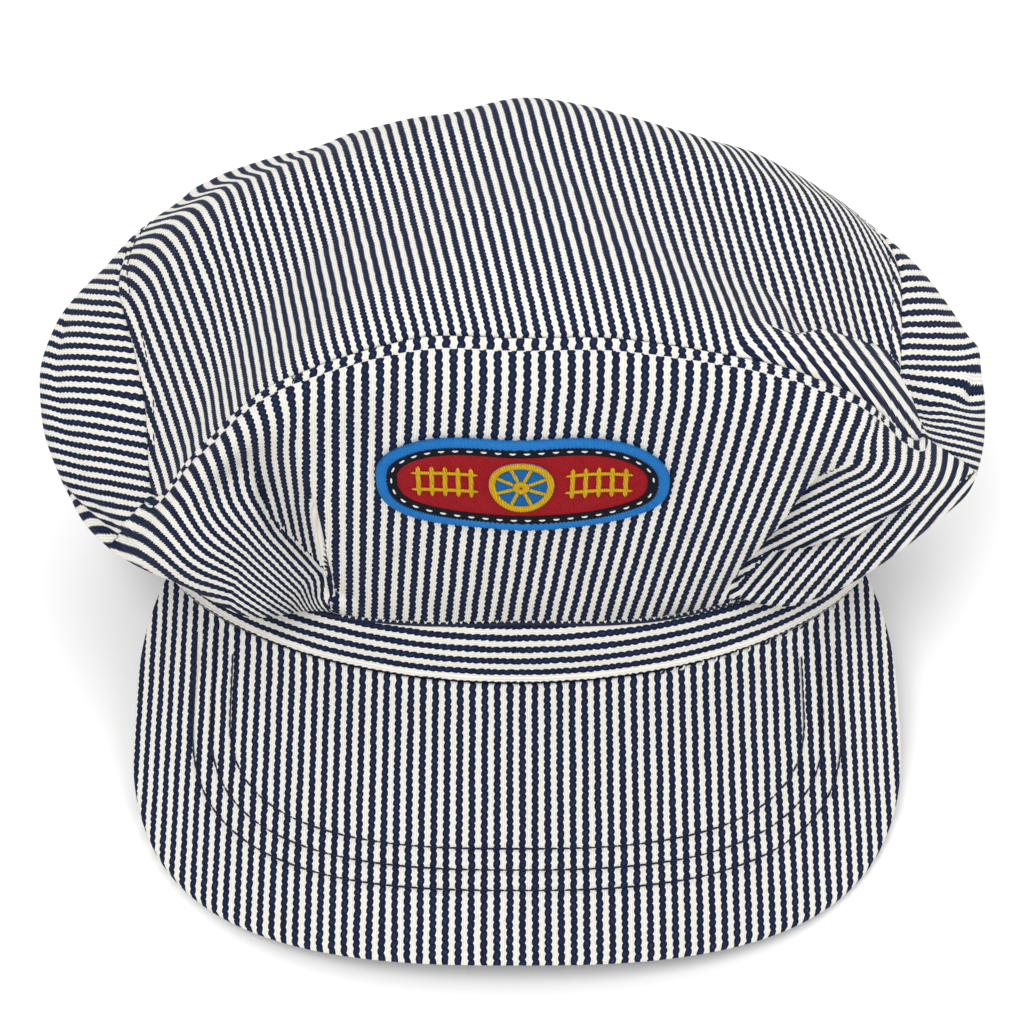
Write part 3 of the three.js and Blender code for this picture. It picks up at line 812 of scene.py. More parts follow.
def frontSides(right, up):
    # on which side of each crease a place is
    edge = creaseShape["edge"]
    onFlap = lineSide(right, up, creaseLines["leftFlap"][0])[0] < edge
    leftLine = ((-57.6, 30.0), (-57.4, 14.0)) + creaseLines["leftPleat"][0]
    leftSide = edge - lineSide(right, up, leftLine)[0]
    pleat = ((94.0, 30.0), (91.0, 19.1), (87.5, 12.0)) + creaseLines["rightPleat"][0]
    pleatSide = lineSide(right, up, pleat)[0] - edge
    onTuck = (lineSide(right, up, creaseLines["rightLobe"][0])[0] > edge) & (right > 58)
    return onFlap, leftSide, pleatSide, onTuck


def frontStripes(right, up, sides):
    # the three layouts of stripes, each on its side of the pleats
    onFlap, leftSide, pleatSide, onTuck = sides
    main = fanStripes(right, up)
    pleatShare = blendStep(leftSide / (0.5 + 3.0 * blendStep(up, 3, 14)), -1, 1)
    stripes = leftStripes(right, up, main, onFlap, pleatShare)
    width = 0.02 + 3.0 * blendStep(up, 7, 15)
    lobeShare = blendStep(pleatSide / width, -1, 1)
    stripes = stripes * (1 - lobeShare) + rightStripes(right, up) * lobeShare
    slope = frontCut["tuckSlope"]
    tuck = (right * math.sin(slope) - up * math.cos(slope)) / frontCut["tuckPitch"]
    return np.where(onTuck, tuck, stripes) * stripeCloth["pitch"]


def buildFront():
    ends = capShape["frontEnds"]
    azimuths = np.linspace(ends[0] + seamTurn, ends[1] - seamTurn, frontCut["columns"])
    lower = np.zeros_like(azimuths)
    azimuth, level = crownGrid(azimuths, frontCut["rows"], lower, lower + seamLevel - seamStep)
    fromSeam = (seamLevel - level) * sectionLength
    hem = frontCut["hemWidth"]
    press = groove(fromSeam, *frontCut["seamGroove"]) + groove(fromSeam - hem, *frontCut["hemGroove"])
    press += frontCut["hemRise"] * blendStep(fromSeam, hem + 0.3, hem - 0.3)
    outer, inner = panelWalls(azimuth, level, press)
    flat = smoothGrid(azimuth, level)
    right, up = frontView(flat)
    seenRight, seenUp = frontView(outer)
    stripes = frontStripes(seenRight, seenUp, frontSides(right, up))
    along = alongStripes(outer, stripes)
    middle = frontSides(quadCorners(right).mean(-1), quadCorners(up).mean(-1))
    rightCorners, upCorners = quadCorners(seenRight), quadCorners(seenUp)
    cornerStripes = frontStripes(rightCorners, upCorners, [side[..., None] for side in middle])
    inHem = quadCorners(fromSeam).mean(-1, keepdims=True) < hem
    cornerStripes = cornerStripes + np.where(inHem, frontCut["hemShift"], 0)
    cornerUv = np.stack([cornerStripes, quadCorners(along)], -1)
    uv = np.stack([stripes, along], -1)
    vertices, faces, clothUv = wallMesh(outer, inner, uv, False, cornerUv)
    addMesh("crownFront", vertices, faces, crownTwill, ["crown_front"], clothUv)


buildFront()
print("stage 3: front panel sewn")

# crown top, the centre panel
topCut = {
    "frontColumns": 150,
    "sideColumns": 64,
    "backColumns": 44,
    "rows": 120,
    "slants": ((-110, 0.42), (-80, 0.39), (0, 0.22), (50, 0.19), (75, 0.22), (95, 0.22), (110, 0.22)),
    "crowding": 1.01,
    "leftEase": 0.2,
    "foldPitch": 3.67,
    "foldSlope": 0.73,
    "foldStart": (59.0, 45.0),
    "topstitch": 3.0,
    "seamGroove": (0.7, 0.5),
    "stitchGroove": (0.5, 0.4),
    "stitchStart": (52, 60),
}


def topStripes(points):
    # slanting in the front view, and straight on over the back
    x, y, z = points[..., 0], points[..., 1], points[..., 2]
    rise, run = math.sin(frontCamera["elevation"]), math.cos(frontCamera["elevation"])
    behind = blendStep(y, -10, 50)
    upward = rise * y + run * (z - 103) * (1 - behind)
    slants = np.array(topCut["slants"])
    slant = np.interp(x, slants[:, 0], slants[:, 1])
    slant = slant + (0.22 - slant) * blendStep(y, 20, 80)
    eased = x + topCut["leftEase"] * np.maximum(-72 - x, 0)
    return (eased + slant * (upward + 20)) * topCut["crowding"]


def topFoldStripes(right, up, atStart):
    # the lobe in front of the top fold, with its stripes steeper to the right
    startRight, startUp = topCut["foldStart"]
    shift = right - startRight - topCut["foldSlope"] * (startUp - up)
    return atStart + shift / topCut["foldPitch"] * stripeCloth["pitch"]


def buildTop():
    left, right = capShape["frontEnds"]
    foot = capShape["backSeamFoot"]
    azimuths = np.concatenate([
        np.linspace(left, right, topCut["frontColumns"], endpoint=False),
        np.linspace(right, foot, topCut["sideColumns"], endpoint=False),
        np.linspace(foot, 360 - foot, topCut["backColumns"], endpoint=False),
        np.linspace(360 - foot, 360 + left, topCut["sideColumns"], endpoint=False),
    ])
    towardsBack = np.where(azimuths < 180, 1, -1)
    edge = np.maximum(centreEdge(azimuths), centreEdge(azimuths - towardsBack * seamTurn))
    lower = np.where(edge > 0, edge + seamStep, 0)
    azimuth, level = crownGrid(azimuths, topCut["rows"], lower, np.full_like(lower, 0.997))
    fromSeam = (level - lower[None, :]) * sectionLength
    sewn = np.where(edge > 0.02, 1.0, 0.0)[None, :]
    isSide = blendStep(np.abs(fromFront(azimuth)), *topCut["stitchStart"])
    topstitch = groove(fromSeam - topCut["topstitch"], *topCut["stitchGroove"])
    press = (groove(fromSeam, *topCut["seamGroove"]) + topstitch * isSide) * sewn
    outer, inner = panelWalls(azimuth, level, press)
    flat = smoothGrid(azimuth, level)
    across = topStripes(outer)
    y = flat[..., 1]
    along = 1.05 * y - 0.5 * np.maximum(-y - 45, 0) + 0.5 * np.maximum(y - 60, 0)
    uv = np.stack([across, along], -1)
    uv = np.concatenate([uv, uv[:, :1]], 1)
    right, up, seenRight, seenUp = (np.concatenate([grid, grid[:, :1]], 1)
                                    for grid in frontView(flat) + frontView(outer))
    turned = np.concatenate([azimuth, azimuth[:, :1] + 360], 1)
    isFront = (turned > 10) & (turned < 92)
    startRight, startUp = topCut["foldStart"]
    startGap = np.hypot(right - startRight, up - startUp) + np.where(isFront, 0, 999)
    atStart = uv[..., 0].ravel()[startGap.argmin()]
    rightCorners, upCorners = quadCorners(right), quadCorners(up)
    cornerAcross = quadCorners(uv[..., 0])
    line = ((56.0, 62.0),) + creaseLines["topFold"][0] + ((112.0, 32.0),)
    side = lineSide(rightCorners.mean(-1), upCorners.mean(-1), line)[0][..., None]
    below = 1 - blendStep(upCorners, startUp + 1, startUp + 9)
    inFront = quadCorners(isFront.astype(float)).mean(-1, keepdims=True) > 0.5
    bending = blendStep(rightCorners, startRight - 5, startRight + 5) * below
    lobe = topFoldStripes(quadCorners(seenRight), quadCorners(seenUp), atStart)
    lobe = cornerAcross * (1 - bending) + lobe * bending
    cornerAcross = np.where(inFront & (side < -creaseShape["edge"]), lobe, cornerAcross)
    cornerUv = np.stack([cornerAcross, quadCorners(uv[..., 1])], -1)
    vertices, faces, clothUv = wallMesh(outer, inner, uv, True, cornerUv, topRim=False)
    # close the small round hole that the rings leave in the middle
    rows, columns = azimuth.shape
    last = (rows - 1) * columns
    ringOuter = [last + c for c in range(columns)]
    ringInner = [rows * columns + last + c for c in reversed(range(columns))]
    faces += [ringOuter, ringInner]
    ringUv = uv[-1, :columns]
    clothUv = np.concatenate([clothUv, ringUv, ringUv[::-1]])
    addMesh("crownTop", vertices, faces, topTwill, ["crown_top"], clothUv)


buildTop()

# crown sides
sideCut = {
    "columns": 170,
    "rows": 90,
    "crowding": 1.06,
    # how the stripes slant above and below a height in the front view, and where the slant starts
    "left": {"high": 34.0, "low": 20.0, "slantHigh": 0.08, "slantLow": 0.2,
             "start": -114.0, "squeeze": 1.0},
    "right": {"high": 38.0, "low": 26.0, "slantHigh": 0.02, "slantLow": 0.36,
              "start": 100.0, "squeeze": 1.3},
}


def buildSide(name, nodeName, frontEnd):
    side = math.copysign(1, frontEnd)
    foot = capShape["backSeamFoot"] - 0.6
    azimuths = np.linspace(abs(frontEnd) + seamTurn, foot, sideCut["columns"]) * side
    if side < 0:
        azimuths = azimuths[::-1]
    upper = np.minimum(centreEdge(azimuths), centreEdge(azimuths + side * seamTurn)) - seamStep
    azimuth, level = crownGrid(azimuths, sideCut["rows"], np.zeros_like(upper), upper)
    fromSeam = (upper[None, :] - level) * sectionLength
    outer, inner = panelWalls(azimuth, level, groove(fromSeam, *topCut["seamGroove"]))
    flat = smoothGrid(azimuth, level)
    cut = sideCut["left" if side < 0 else "right"]
    right, up = frontView(flat)
    isFront = 1 - blendStep(flat[..., 1], -15, 25)
    lowShare = blendStep(-up, -cut["high"], -cut["low"]) * isFront
    slant = cut["slantHigh"] + (cut["slantLow"] - cut["slantHigh"]) * lowShare
    below = np.maximum(cut["high"] - up, 0) * (cut["squeeze"] - 1) * isFront
    across = (up - below) * sideCut["crowding"] + slant * (right - cut["start"])
    uv = np.stack([across, level * sectionLength * 1.05], -1)
    vertices, faces, clothUv = wallMesh(outer, inner, uv, False)
    addMesh(name, vertices, faces, crownTwill, [nodeName], clothUv)


buildSide("crownSideLeft", "crown_side_left", capShape["frontEnds"][0])
buildSide("crownSideRight", "crown_side_right", capShape["frontEnds"][1])
print("stage 4: centre and sides sewn")

# band
bandCut = {
    "columns": 420,
    "profile": 40,
    "phase": 0.9,
    "hollow": 0.5,
    # how deep, how high up and how wide each groove or rounding is
    "edge": (0.7, 0, 0.9),
    "lowerHollow": (0.7, 1.2, 1.1),
    "lowerGroove": (0.45, 2.2, 0.45),
    "upperGroove": (0.35, -1.6, 0.45),
}


def bandPress(height, shape):
    depth, place, width = shape
    return depth * math.exp(-(((height - place) / width) ** 2))


def buildBand():
    azimuths = np.arange(bandCut["columns"]) * 360 / bandCut["columns"]
    height = capShape["bandHeight"]
    wall = capShape["bandWall"]
    levels = np.linspace(0, 1, bandCut["profile"])
    outer = []
    inner = []
    for level in levels:
        lean = capShape["bandLean"] * level
        rounding = bandPress(min(level, 1 - level) * height, bandCut["edge"])
        ease = bandCut["hollow"] * math.sin(math.pi * level)
        ease += bandPress(level * height, bandCut["lowerHollow"])
        press = bandPress(level * height, bandCut["lowerGroove"])
        press += bandPress(level * height - height, bandCut["upperGroove"])
        for grid, offset in ((outer, lean + rounding - ease + press), (inner, lean + wall - rounding)):
            grid.append(atAzimuth(azimuths, rimReach(azimuths, offset), level * height))
    outer, inner = np.array(outer), np.array(inner)
    closed = np.concatenate([outer, outer[:, :1]], 1)
    around = gridLengths(closed, 1)
    across = np.repeat((levels * height)[:, None], bandCut["columns"] + 1, 1) + bandCut["phase"]
    vertices, faces, clothUv = wallMesh(outer, inner, np.stack([across, around], -1), True)
    addMesh("band", vertices, faces, bandTwill, ["band"], clothUv)


buildBand()

# visor
visorCut = {
    "length": 68.0,
    "halfWidth": 98.0,
    "rootHalfWidth": 90.0,
    "archRadius": 200.0,
    "slope": math.radians(30),
    "wall": 2.6,
    "power": 2.4,
    "gap": 0.12,
    "columns": 360,
    "rows": 110,
    "phase": 0.2,
    "widestForward": 2.0,
    "frontShare": 0.74,
}


def visorPoint(across, forward):
    radius, slope = visorCut["archRadius"], visorCut["slope"]
    angle = across / radius
    drop = radius * (1 - np.cos(angle))
    return np.stack([
        radius * np.sin(angle),
        -capShape["rimHalfDepth"] - forward * math.cos(slope) + drop * math.sin(slope),
        -forward * math.sin(slope) - drop * math.cos(slope),
    ], -1)


def visorNormal(across):
    angle = across / visorCut["archRadius"]
    slope = visorCut["slope"]
    return np.stack([
        np.sin(angle),
        -np.cos(angle) * math.sin(slope),
        np.cos(angle) * math.cos(slope),
    ], -1)


def visorRoot(across):
    # how far forward the visor starts, so that its root follows the band
    start = visorPoint(across, np.zeros_like(across))
    faceWidth = capShape["rimHalfWidth"] + visorCut["gap"]
    faceDepth = capShape["rimHalfDepth"] + visorCut["gap"]
    faceY = -faceDepth * np.sqrt(np.clip(1 - (start[:, 0] / faceWidth) ** 2, 0, 1))
    return (start[:, 1] - faceY) / math.cos(visorCut["slope"])


def visorEdge(share, inset=0.0):
    # round the visor's edge, share from -1 at one end of the root to 1 at the other
    widest, frontShare = visorCut["widestForward"], visorCut["frontShare"]
    side = np.sign(share)
    amount = np.abs(share)
    angle = np.clip(amount / frontShare, 0, 1) * math.pi / 2
    power = 2 / visorCut["power"]
    halfWidth = visorCut["halfWidth"] - inset
    length = visorCut["length"] - inset
    frontAcross = side * halfWidth * np.sin(angle) ** power
    frontForward = widest + (length - widest) * np.clip(np.cos(angle), 0, 1) ** power
    back = np.clip((amount - frontShare) / (1 - frontShare), 0, 1)
    rootHalf = visorCut["rootHalfWidth"] - inset
    corner = visorRoot(np.array([rootHalf]))[0]
    narrowing = max(visorCut["halfWidth"] - visorCut["rootHalfWidth"] - inset, 0)
    backAcross = side * (halfWidth - narrowing * back**3)
    backForward = widest + (corner - widest) * back
    isFront = amount < frontShare
    return np.where(isFront, frontAcross, backAcross), np.where(isFront, frontForward, backForward)


def evenEdge(count, inset=0.0):
    # places round the edge that are evenly spaced along it
    shares = np.linspace(-1, 1, 4001)
    across, forward = visorEdge(shares, inset)
    lengths = np.concatenate([[0], np.cumsum(np.hypot(np.diff(across), np.diff(forward)))])
    return np.interp(np.linspace(0, lengths[-1], count), lengths, shares)


def buildVisor():
    places = evenEdge(visorCut["columns"])
    edgeAcross, edgeForward = visorEdge(places)
    rootAcross = np.linspace(-1, 1, visorCut["columns"]) * visorCut["rootHalfWidth"]
    rootForward = visorRoot(rootAcross)
    shares = np.linspace(0, 1, visorCut["rows"])[:, None]
    across = rootAcross + (edgeAcross - rootAcross) * shares
    forward = rootForward + (edgeForward - rootForward) * shares
    wall = visorCut["wall"]
    fromEdge = np.hypot(across - edgeAcross, forward - edgeForward)
    press = np.zeros_like(across)
    for inset in stitchRows["insets"]:
        press += groove(edgeDistance(across, forward) - inset, 0.55, 0.38)
    half = 0.5 * wall
    rounding = half * (1 - np.sqrt(np.clip(1 - (1 - np.minimum(fromEdge / half, 1)) ** 2, 0, 1)))
    points = visorPoint(across.ravel(), forward.ravel()).reshape(*across.shape, 3)
    normals = visorNormal(across.ravel()).reshape(*across.shape, 3)
    outer = points + normals * (press - rounding)[..., None]
    lowered = np.maximum(0.5 - points[:1, :, 2], 0) * np.clip(1 - shares / 0.09, 0, 1) ** 2
    outer[..., 2] += lowered
    nearRoot = np.clip(1 - shares * 8, 0, 1)[..., None]
    sink = normals * (1 - nearRoot) + np.array([0, 0, 1.0]) * nearRoot
    inner = points - sink * (wall - rounding)[..., None]
    uv = np.stack([across + visorCut["phase"], forward], -1)
    vertices, faces, clothUv = wallMesh(outer[::-1], inner[::-1], uv[::-1], False)
    addMesh("visor", vertices, faces, visorTwill, ["visor"], clothUv)


edgeLine = np.stack(visorEdge(evenEdge(900)), -1)
edgeLine = edgeLine[edgeLine[:, 1] > -30]


def edgeDistance(across, forward):
    flat = np.stack([across.ravel(), forward.ravel()], -1)
    distances = np.empty(len(flat))
    part = 4000
    for start in range(0, len(flat), part):
        squares = ((flat[start:start + part, None] - edgeLine[None, ::3]) ** 2).sum(-1)
        distances[start:start + part] = np.sqrt(squares).min(1)
    return distances.reshape(across.shape)


stitchRows = {
    "insets": (17.4, 22.3, 27.4),
    "ends": (-21.5, -17.5, -13.5),
    "stitch": 2.7,
    "gap": 0.1,
    "thickness": 0.24,
    "lift": 0.22,
}

buildVisor()
print("stage 5: band and visor sewn")


def pointAlong(place, lengths, line):
    return np.array([np.interp(place, lengths, line[:, axis]) for axis in range(3)])


def stitchMesh(name, line, normals, stitch, gap, thickness, lift, material, slotName):
    # one small rounded tube per stitch, its ends dipping into the cloth
    lengths = np.concatenate([[0], np.cumsum(np.linalg.norm(np.diff(line, axis=0), axis=1))])
    count = int(lengths[-1] // (stitch + gap))
    sections, sides = 6, 7
    vertices = []
    faces = []
    angles = np.arange(sides) * 2 * np.pi / sides
    for k in range(count):
        begin = k * (stitch + gap) + gap / 2
        base = len(vertices)
        for j in range(sections):
            share = j / (sections - 1)
            place = begin + share * stitch
            centre = pointAlong(place, lengths, line)
            normal = pointAlong(place, lengths, normals)
            normal /= np.linalg.norm(normal)
            forward = pointAlong(place + 0.2, lengths, line) - centre
            forward /= max(np.linalg.norm(forward), 1e-9)
            sideways = np.cross(normal, forward)
            arch = math.sin(math.pi * share)
            radius = thickness * (0.6 + 0.4 * arch**0.5)
            middle = centre + normal * (lift * arch - thickness * 0.6)
            for angle in angles:
                spoke = math.cos(angle) * sideways + math.sin(angle) * normal
                vertices.append(middle + radius * spoke)
        for j in range(sections - 1):
            for s in range(sides):
                t = (s + 1) % sides
                faces.append([base + j * sides + s, base + (j + 1) * sides + s,
                              base + (j + 1) * sides + t, base + j * sides + t])
        faces.append([base + s for s in range(sides)])
        faces.append([base + (sections - 1) * sides + s for s in reversed(range(sides))])
    return addMesh(name, np.array(vertices), faces, material)


navyThread = plainThread("navy thread", (0.012, 0.016, 0.045, 1))
whiteThread = plainThread("white thread", (0.80, 0.79, 0.76, 1))


def visorStitches():
    for index, (inset, end) in enumerate(zip(stitchRows["insets"], stitchRows["ends"])):
        across, forward = visorEdge(evenEdge(500, inset), inset)
        keep = forward > end
        line = visorPoint(across[keep], forward[keep])
        stitchMesh(f"visorStitches{index + 1}", line, visorNormal(across[keep]), stitchRows["stitch"],
                   stitchRows["gap"], stitchRows["thickness"], stitchRows["lift"], navyThread, "visor_cloth")


hemLevel = seamLevel - frontCut["hemWidth"] / sectionLength
sideLevel = seamLevel + topCut["topstitch"] / sectionLength
topstitch = (2.1, 0.9, 0.17, 0.10)
# name, first and last azimuth, steps, level, thread; then a stitch's length, gap, thickness, lift
crownRows = (
    ("frontTopstitch", -53, 57, 400, hemLevel, whiteThread, topstitch),
    ("leftTopstitch", -60, -112, 260, sideLevel, navyThread, topstitch),
    ("rightTopstitch", 66, 112, 260, sideLevel, navyThread, topstitch),
    ("bandSeamStitches", -33, 46, 500, 0.004, whiteThread, (0.9, 0.8, 0.26, 0.85)),
)


def crownStitches():
    for name, first, last, steps, level, thread, stitch in crownRows:
        azimuths, levels = np.linspace(first, last, steps), np.full(steps, level)
        normals = outwardNormals(crownSurface, azimuths, levels)
        line = crownSurface(azimuths, levels) - normals * 0.25
        stitchMesh(name, line, normals, *stitch, thread, "crown_cloth")


visorStitches()
crownStitches()


lipCut = {"columns": 480, "sides": 10, "radius": 0.5, "lean": 0.15, "drop": 0.25, "waver": 0.18}


def bandLipPaintedShade():
    # the crown's folded foot above the band, a thin welt whose dark colour is painted shade under the
    # crown's edge
    columns, sides = lipCut["columns"], lipCut["sides"]
    azimuths = np.arange(columns) * 360 / columns
    drop = footDrop(azimuths)
    reach = rimReach(azimuths, capShape["bandLean"] - lipCut["lean"]) + footReach(drop)
    waver = lipCut["waver"] * np.sin(degrees(azimuths) * 17) * np.cos(degrees(azimuths) * 5)
    centre = atAzimuth(azimuths, reach, capShape["bandHeight"] - lipCut["drop"] - drop + waver)
    outward = atAzimuth(azimuths, np.ones(columns), 0)
    turns = np.arange(sides) * 2 * np.pi / sides
    upward = np.array([0, 0, 1.0])
    rings = [centre + lipCut["radius"] * (math.cos(t) * outward + math.sin(t) * upward) for t in turns]
    faces, _ = gridFaces(columns + 1, sides, 0, True, False)
    faces = (faces % (columns * sides)).tolist()
    # the navy thread's colour paints the shade along this seam
    addMesh("bandLipPaintedShade", np.stack(rings, 1).reshape(-1, 3), faces, navyThread)


loopCut = {
    "count": 17,
    "seed": 5,
    "first": 42,
    "step": 2.9,
    "jitter": 0.8,
    # turn, reach beyond the rim and height of each end
    "foot": (-0.5, 0.5, -0.1),
    "head": (0.6, 0.1, 1.1),
    "bulge": 0.5,
    "thickness": 0.28,
    "lift": 0.2,
}


def loopEnd(azimuth, end):
    turn, out, height = end
    reach = rimReach(np.array([azimuth]))[0]
    return atAzimuth(np.array([azimuth + turn]), np.array([reach + out]), height)[0]


def visorLoops():
    # short whip stitches at the right end of the visor's seam, as in the photo
    loopRandom = np.random.default_rng(loopCut["seed"])
    share = np.linspace(0, 1, 12)[:, None]
    for index in range(loopCut["count"]):
        jitter = loopRandom.uniform(-loopCut["jitter"], loopCut["jitter"])
        across = loopCut["first"] + loopCut["step"] * index + jitter
        azimuth = math.degrees(math.asin(min(across / 96, 0.99)))
        foot, head = loopEnd(azimuth, loopCut["foot"]), loopEnd(azimuth, loopCut["head"])
        outward = atAzimuth(np.array([azimuth]), np.array([1.0]), 0)[0]
        bulge = outward * loopCut["bulge"] * np.sin(math.pi * share)
        line = foot * (1 - share) + head * share + bulge
        length = np.linalg.norm(np.diff(line, axis=0), axis=1).sum()
        thread = whiteThread if index % 3 else navyThread
        stitchMesh(f"visorLoop{index + 1}", line, np.repeat(outward[None], len(share), 0),
                   length * 0.96, length * 0.02, loopCut["thickness"], loopCut["lift"],
                   thread, "visor_cloth")


bandLipPaintedShade()
visorLoops()
print("stage 6: topstitched")

# patch: a generic oval with a spoked wheel between two lengths of track
patchCut = {
    "width": 64.0,
    "height": 26.0,
    "azimuth": 0.7,
    "level": 0.36,
    "thickness": 1.4,
    "border": 1.25,
    "borderBlue": (0.008, 0.155, 0.46, 1),
    "ringNavy": (0.003, 0.004, 0.011, 1),
    "fieldRed": (0.40, 0.006, 0.014, 1),
    "wheelYellow": (0.74, 0.45, 0.006, 1),
    "power": 2.7,
    "ringInset": 3.1,
    "stitchInset": 1.9,
    "raised": 0.16,
    "backingRadius": 7.2,
    "wheelRadius": 6.4,
    "spokes": 8,
    "spokeRun": (1.5, 6.0),
    "railRun": (9.6, 24.6),
    "railHeight": 2.3,
    "ties": 5,
    "firstTie": 11.2,
    "tieStep": 2.95,
    "tieHalf": 4.1,
}


def patchStep(turn, rise):
    # how far a small step in azimuth or level goes at the middle of the patch
    azimuths = patchCut["azimuth"] + np.array([turn, 0.0])
    levels = patchCut["level"] + np.array([rise, 0.0])
    stepped, middle = crownSurface(azimuths, levels)
    return np.linalg.norm(stepped - middle)


degreeLength = patchStep(1, 0)
levelLength = patchStep(0, 0.01) / 0.01


def onPatch(x, y, lift):
    # a place on the patch, x and y in mm from its middle, lifted off the front panel
    azimuth = patchCut["azimuth"] + np.asarray(x) / degreeLength
    level = patchCut["level"] + np.asarray(y) / levelLength
    azimuth, level, lift = np.broadcast_arrays(azimuth, level, lift)
    flat = azimuth.ravel().astype(float), level.ravel().astype(float)
    points = crownSurface(*flat) + outwardNormals(crownSurface, *flat) * lift.ravel()[:, None]
    return points.reshape(*azimuth.shape, 3)


def ovalPlace(angles, halfWidth, halfHeight):
    # an oval with fuller ends than an ellipse
    power = 2 / patchCut["power"]
    cosine, sine = np.cos(angles), np.sin(angles)
    return (halfWidth * np.sign(cosine) * np.abs(cosine) ** power,
            halfHeight * np.sign(sine) * np.abs(sine) ** power)


def ovalSlab(name, halfWidth, halfHeight, low, high, material, inner=None, rings=10, spokes=220):
    # an oval plate, or a ring when inner gives the hole's half sizes
    angles = np.arange(spokes) * 2 * np.pi / spokes
    start = (0.02 * halfWidth, 0.02 * halfHeight) if inner is None else inner
    shares = np.linspace(0, 1, rings)[:, None]
    xs, ys = ovalPlace(angles, start[0] + (halfWidth - start[0]) * shares,
                       start[1] + (halfHeight - start[1]) * shares)
    top = onPatch(xs, ys, high)[::-1]
    bottom = onPatch(xs, ys, low)[::-1]
    vertices, faces, _ = wallMesh(top, bottom, np.zeros((rings, spokes + 1, 2)), True)
    return addMesh(name, vertices, faces, material)


def roundSlab(name, radius, low, high, material):
    angles = np.arange(120) * 2 * np.pi / 120
    shares = np.linspace(0.03, 1, 8)[:, None]
    xs, ys = radius * shares * np.cos(angles), radius * shares * np.sin(angles)
    top, bottom = onPatch(xs, ys, high)[::-1], onPatch(xs, ys, low)[::-1]
    vertices, faces, _ = wallMesh(top, bottom, np.zeros((8, 121, 2)), True)
    return addMesh(name, vertices, faces, material)


def threadTube(name, x, y, lift, radius, material, closed=True, ridges=0, sides=12, flatten=0.75):
    # a raised cord of stitches along a line on the patch
    x, y = np.asarray(x, float), np.asarray(y, float)
    if closed:
        alongX, alongY = (np.roll(line, -1) - np.roll(line, 1) for line in (x, y))
    else:
        alongX, alongY = np.gradient(x), np.gradient(y)
    size = np.hypot(alongX, alongY)
    outX, outY = alongY / size, -alongX / size
    turns = np.arange(sides) * 2 * np.pi / sides
    count = len(x)
    steps = np.arange(count)[:, None] / count
    ripple = 1 + (0.09 * np.cos(2 * np.pi * ridges * steps + turns) if ridges else 0)
    taper = np.ones((count, 1))
    if not closed:
        place = np.linspace(-1, 1, count)[:, None]
        taper = np.sqrt(np.clip(1 - place**8, 0.05, 1))
    reach = radius * ripple * taper
    xs = x[:, None] + outX[:, None] * np.cos(turns) * reach
    ys = y[:, None] + outY[:, None] * np.cos(turns) * reach
    lifts = lift + np.sin(turns) * reach * flatten
    points = onPatch(xs, ys, lifts)
    faces, _ = gridFaces(count + 1 if closed else count, sides, 0, True, True)
    if closed:
        faces = faces % (count * sides)
    faces = faces.tolist()
    if not closed:
        faces.append(list(range(sides)))
        faces.append([(count - 1) * sides + s for s in reversed(range(sides))])
    return addMesh(name, points.reshape(-1, 3), faces, material)


def straightTube(name, x, y, lift, radius, material):
    threadTube(name, x, y, lift, radius, material, closed=False, sides=8)


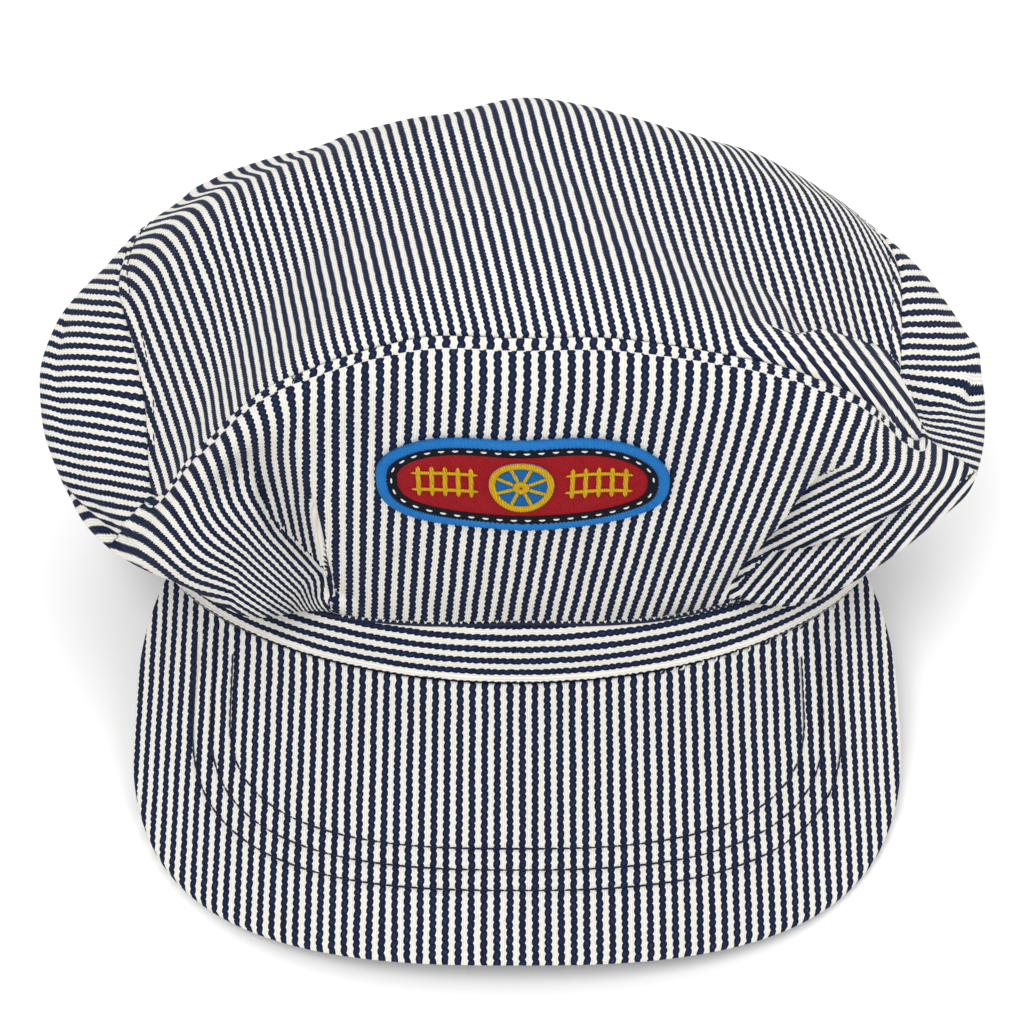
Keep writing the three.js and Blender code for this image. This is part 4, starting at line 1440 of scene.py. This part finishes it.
def buildPatch():
    halfWidth, halfHeight = patchCut["width"] / 2, patchCut["height"] / 2
    thick = patchCut["thickness"]
    edge = patchCut["border"]
    red = satinField("red satin", patchCut["fieldRed"], 0.5)
    navy = satinField("navy satin", patchCut["ringNavy"], 1.2)
    blue = plainThread("blue merrow", patchCut["borderBlue"], 0.5, 900.0)
    yellow = satinField("yellow satin", patchCut["wheelYellow"], 0.2)
    field = ovalSlab("patchField", halfWidth - edge, halfHeight - edge, 0.2, thick, red, rings=24)
    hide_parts("patch")
    raised = thick + patchCut["raised"]
    inset = edge + patchCut["ringInset"]
    ring = (halfWidth - inset, halfHeight - inset)
    ovalSlab("patchRing", halfWidth - edge * 0.6, halfHeight - edge * 0.6, 0.3, raised, navy, ring, 8)
    angles = np.arange(1320) * 2 * np.pi / 1320
    threadTube("patchBorder", *ovalPlace(angles, halfWidth - edge, halfHeight - edge),
               thick * 0.62, edge, blue, ridges=220, flatten=0.85)
    inset = edge + patchCut["stitchInset"]
    stitchX, stitchY = ovalPlace(angles, halfWidth - inset, halfHeight - inset)
    line = onPatch(stitchX, stitchY, raised)
    normals = outwardNormals(crownSurface, patchCut["azimuth"] + stitchX / degreeLength,
                             patchCut["level"] + stitchY / levelLength)
    stitchMesh("patchRingStitches", line, normals, 1.5, 1.7, 0.22, 0.24, whiteThread, "patch_thread")
    blueSatin = satinField("blue satin", patchCut["borderBlue"], 0.9)
    roundSlab("wheelBacking", patchCut["backingRadius"], thick - 0.1, thick + 0.18, blueSatin)
    wheelAngles = np.arange(200) * 2 * np.pi / 200
    for name, radius, lift, ridges in (("wheelRim", patchCut["wheelRadius"], 0.25, 60),
                                       ("wheelHub", 1.0, 0.3, 12)):
        threadTube(name, radius * np.cos(wheelAngles), radius * np.sin(wheelAngles),
                   thick + lift, 0.75, yellow, ridges=ridges)

    for index in range(patchCut["spokes"]):
        turn = math.pi * index / 4 + math.pi / 8
        run = np.linspace(*patchCut["spokeRun"], 14)
        x, y = run * math.cos(turn), run * math.sin(turn)
        straightTube(f"wheelSpoke{index + 1}", x, y, thick + 0.22, 0.42, yellow)
    for side, sideName in ((-1, "left"), (1, "right")):
        run = np.linspace(*patchCut["railRun"], 40) * side
        for rail, up in (("upper", 1), ("lower", -1)):
            height = np.full(40, up * patchCut["railHeight"])
            straightTube(f"track_{rail}_{sideName}", run, height, raised, 0.42, yellow)
        run = np.linspace(-patchCut["tieHalf"], patchCut["tieHalf"], 20)
        for index in range(patchCut["ties"]):
            x = np.full(20, side * (patchCut["firstTie"] + patchCut["tieStep"] * index))
            straightTube(f"tie_{sideName}_{index + 1}", x, run, thick + 0.10, 0.55, yellow)


buildPatch()
print("stage 7: patch embroidered")

# studio
studio = {
    "rimPixel": (517.0, 504.0),
    "imageSize": 1024.0,
    "focalPixels": 2900.0,
    "floorColor": (0.93, 0.93, 0.93, 1),
    "floorShade": (0.9, 0.9, 0.9, 1),
    "room": 0.78,
    # place, size and power of each lamp
    "key": ((-0.5, -0.8, 1.5), 0.9, 14),
    "fill": ((0.9, -0.5, 1.1), 1.1, 6),
    "back": ((0.1, 1.1, 1.2), 1.0, 6),
    "target": (0, 0, 0.05),
}


def addFloor():
    bench = NodeBench("pale floor")
    tint = bench.smooth(bench.noise(bench.place(), 3.0, 2.0), 0.2, 0.8)
    color = bench.mix(bench.times(tint, 0.04), studio["floorColor"], studio["floorShade"])
    bench.feed(color, bench.shader.inputs["Base Color"])
    bench.shader.inputs["Roughness"].default_value = 0.9
    bpy.ops.mesh.primitive_plane_add(size=12, location=(0, 0, 0))
    floor = bpy.context.object
    floor.name = "floor"
    floor.data.materials.append(bench.material)


def addLight(name):
    place, size, power = studio[name]
    data = bpy.data.lights.new(name, "AREA")
    data.shape = "DISK"
    data.size = size
    data.energy = power
    lamp = bpy.data.objects.new(name, data)
    bpy.context.scene.collection.objects.link(lamp)
    lamp.location = place
    towards = Vector(studio["target"]) - Vector(place)
    lamp.rotation_euler = towards.to_track_quat("-Z", "Y").to_euler()


def addCamera():
    # the photo's view: 35 degrees above the plane of the rim, square on to the visor
    rise, run = math.sin(frontCamera["elevation"]), math.cos(frontCamera["elevation"])
    back = capTurn @ np.array([0, -run, rise])
    up = capTurn @ np.array([0, rise, run])
    place = (capPlace + back * frontCamera["distance"]) / 1000
    data = bpy.data.cameras.new("photo view")
    data.sensor_width = 36
    data.lens = studio["focalPixels"] * data.sensor_width / studio["imageSize"]
    middle = studio["imageSize"] / 2
    data.shift_x = (middle - studio["rimPixel"][0]) / studio["imageSize"]
    data.shift_y = (studio["rimPixel"][1] - middle) / studio["imageSize"]
    camera = bpy.data.objects.new("photo view", data)
    bpy.context.scene.collection.objects.link(camera)
    sideways = (1, 0, 0)
    rows = [(sideways[axis], up[axis], back[axis], place[axis]) for axis in range(3)]
    camera.matrix_world = Matrix((*rows, (0, 0, 0, 1)))
    bpy.context.scene.camera = camera


def addWorld():
    world = bpy.data.worlds.new("soft white room")
    world.use_nodes = True
    background = world.node_tree.nodes["Background"]
    background.inputs[0].default_value = (1, 1, 1, 1)
    background.inputs[1].default_value = studio["room"]
    bpy.context.scene.world = world


addFloor()
for lampName in ("key", "fill", "back"):
    addLight(lampName)
addWorld()
addCamera()
bpy.context.scene.view_settings.view_transform = "Standard"
print("stage 8: studio set")
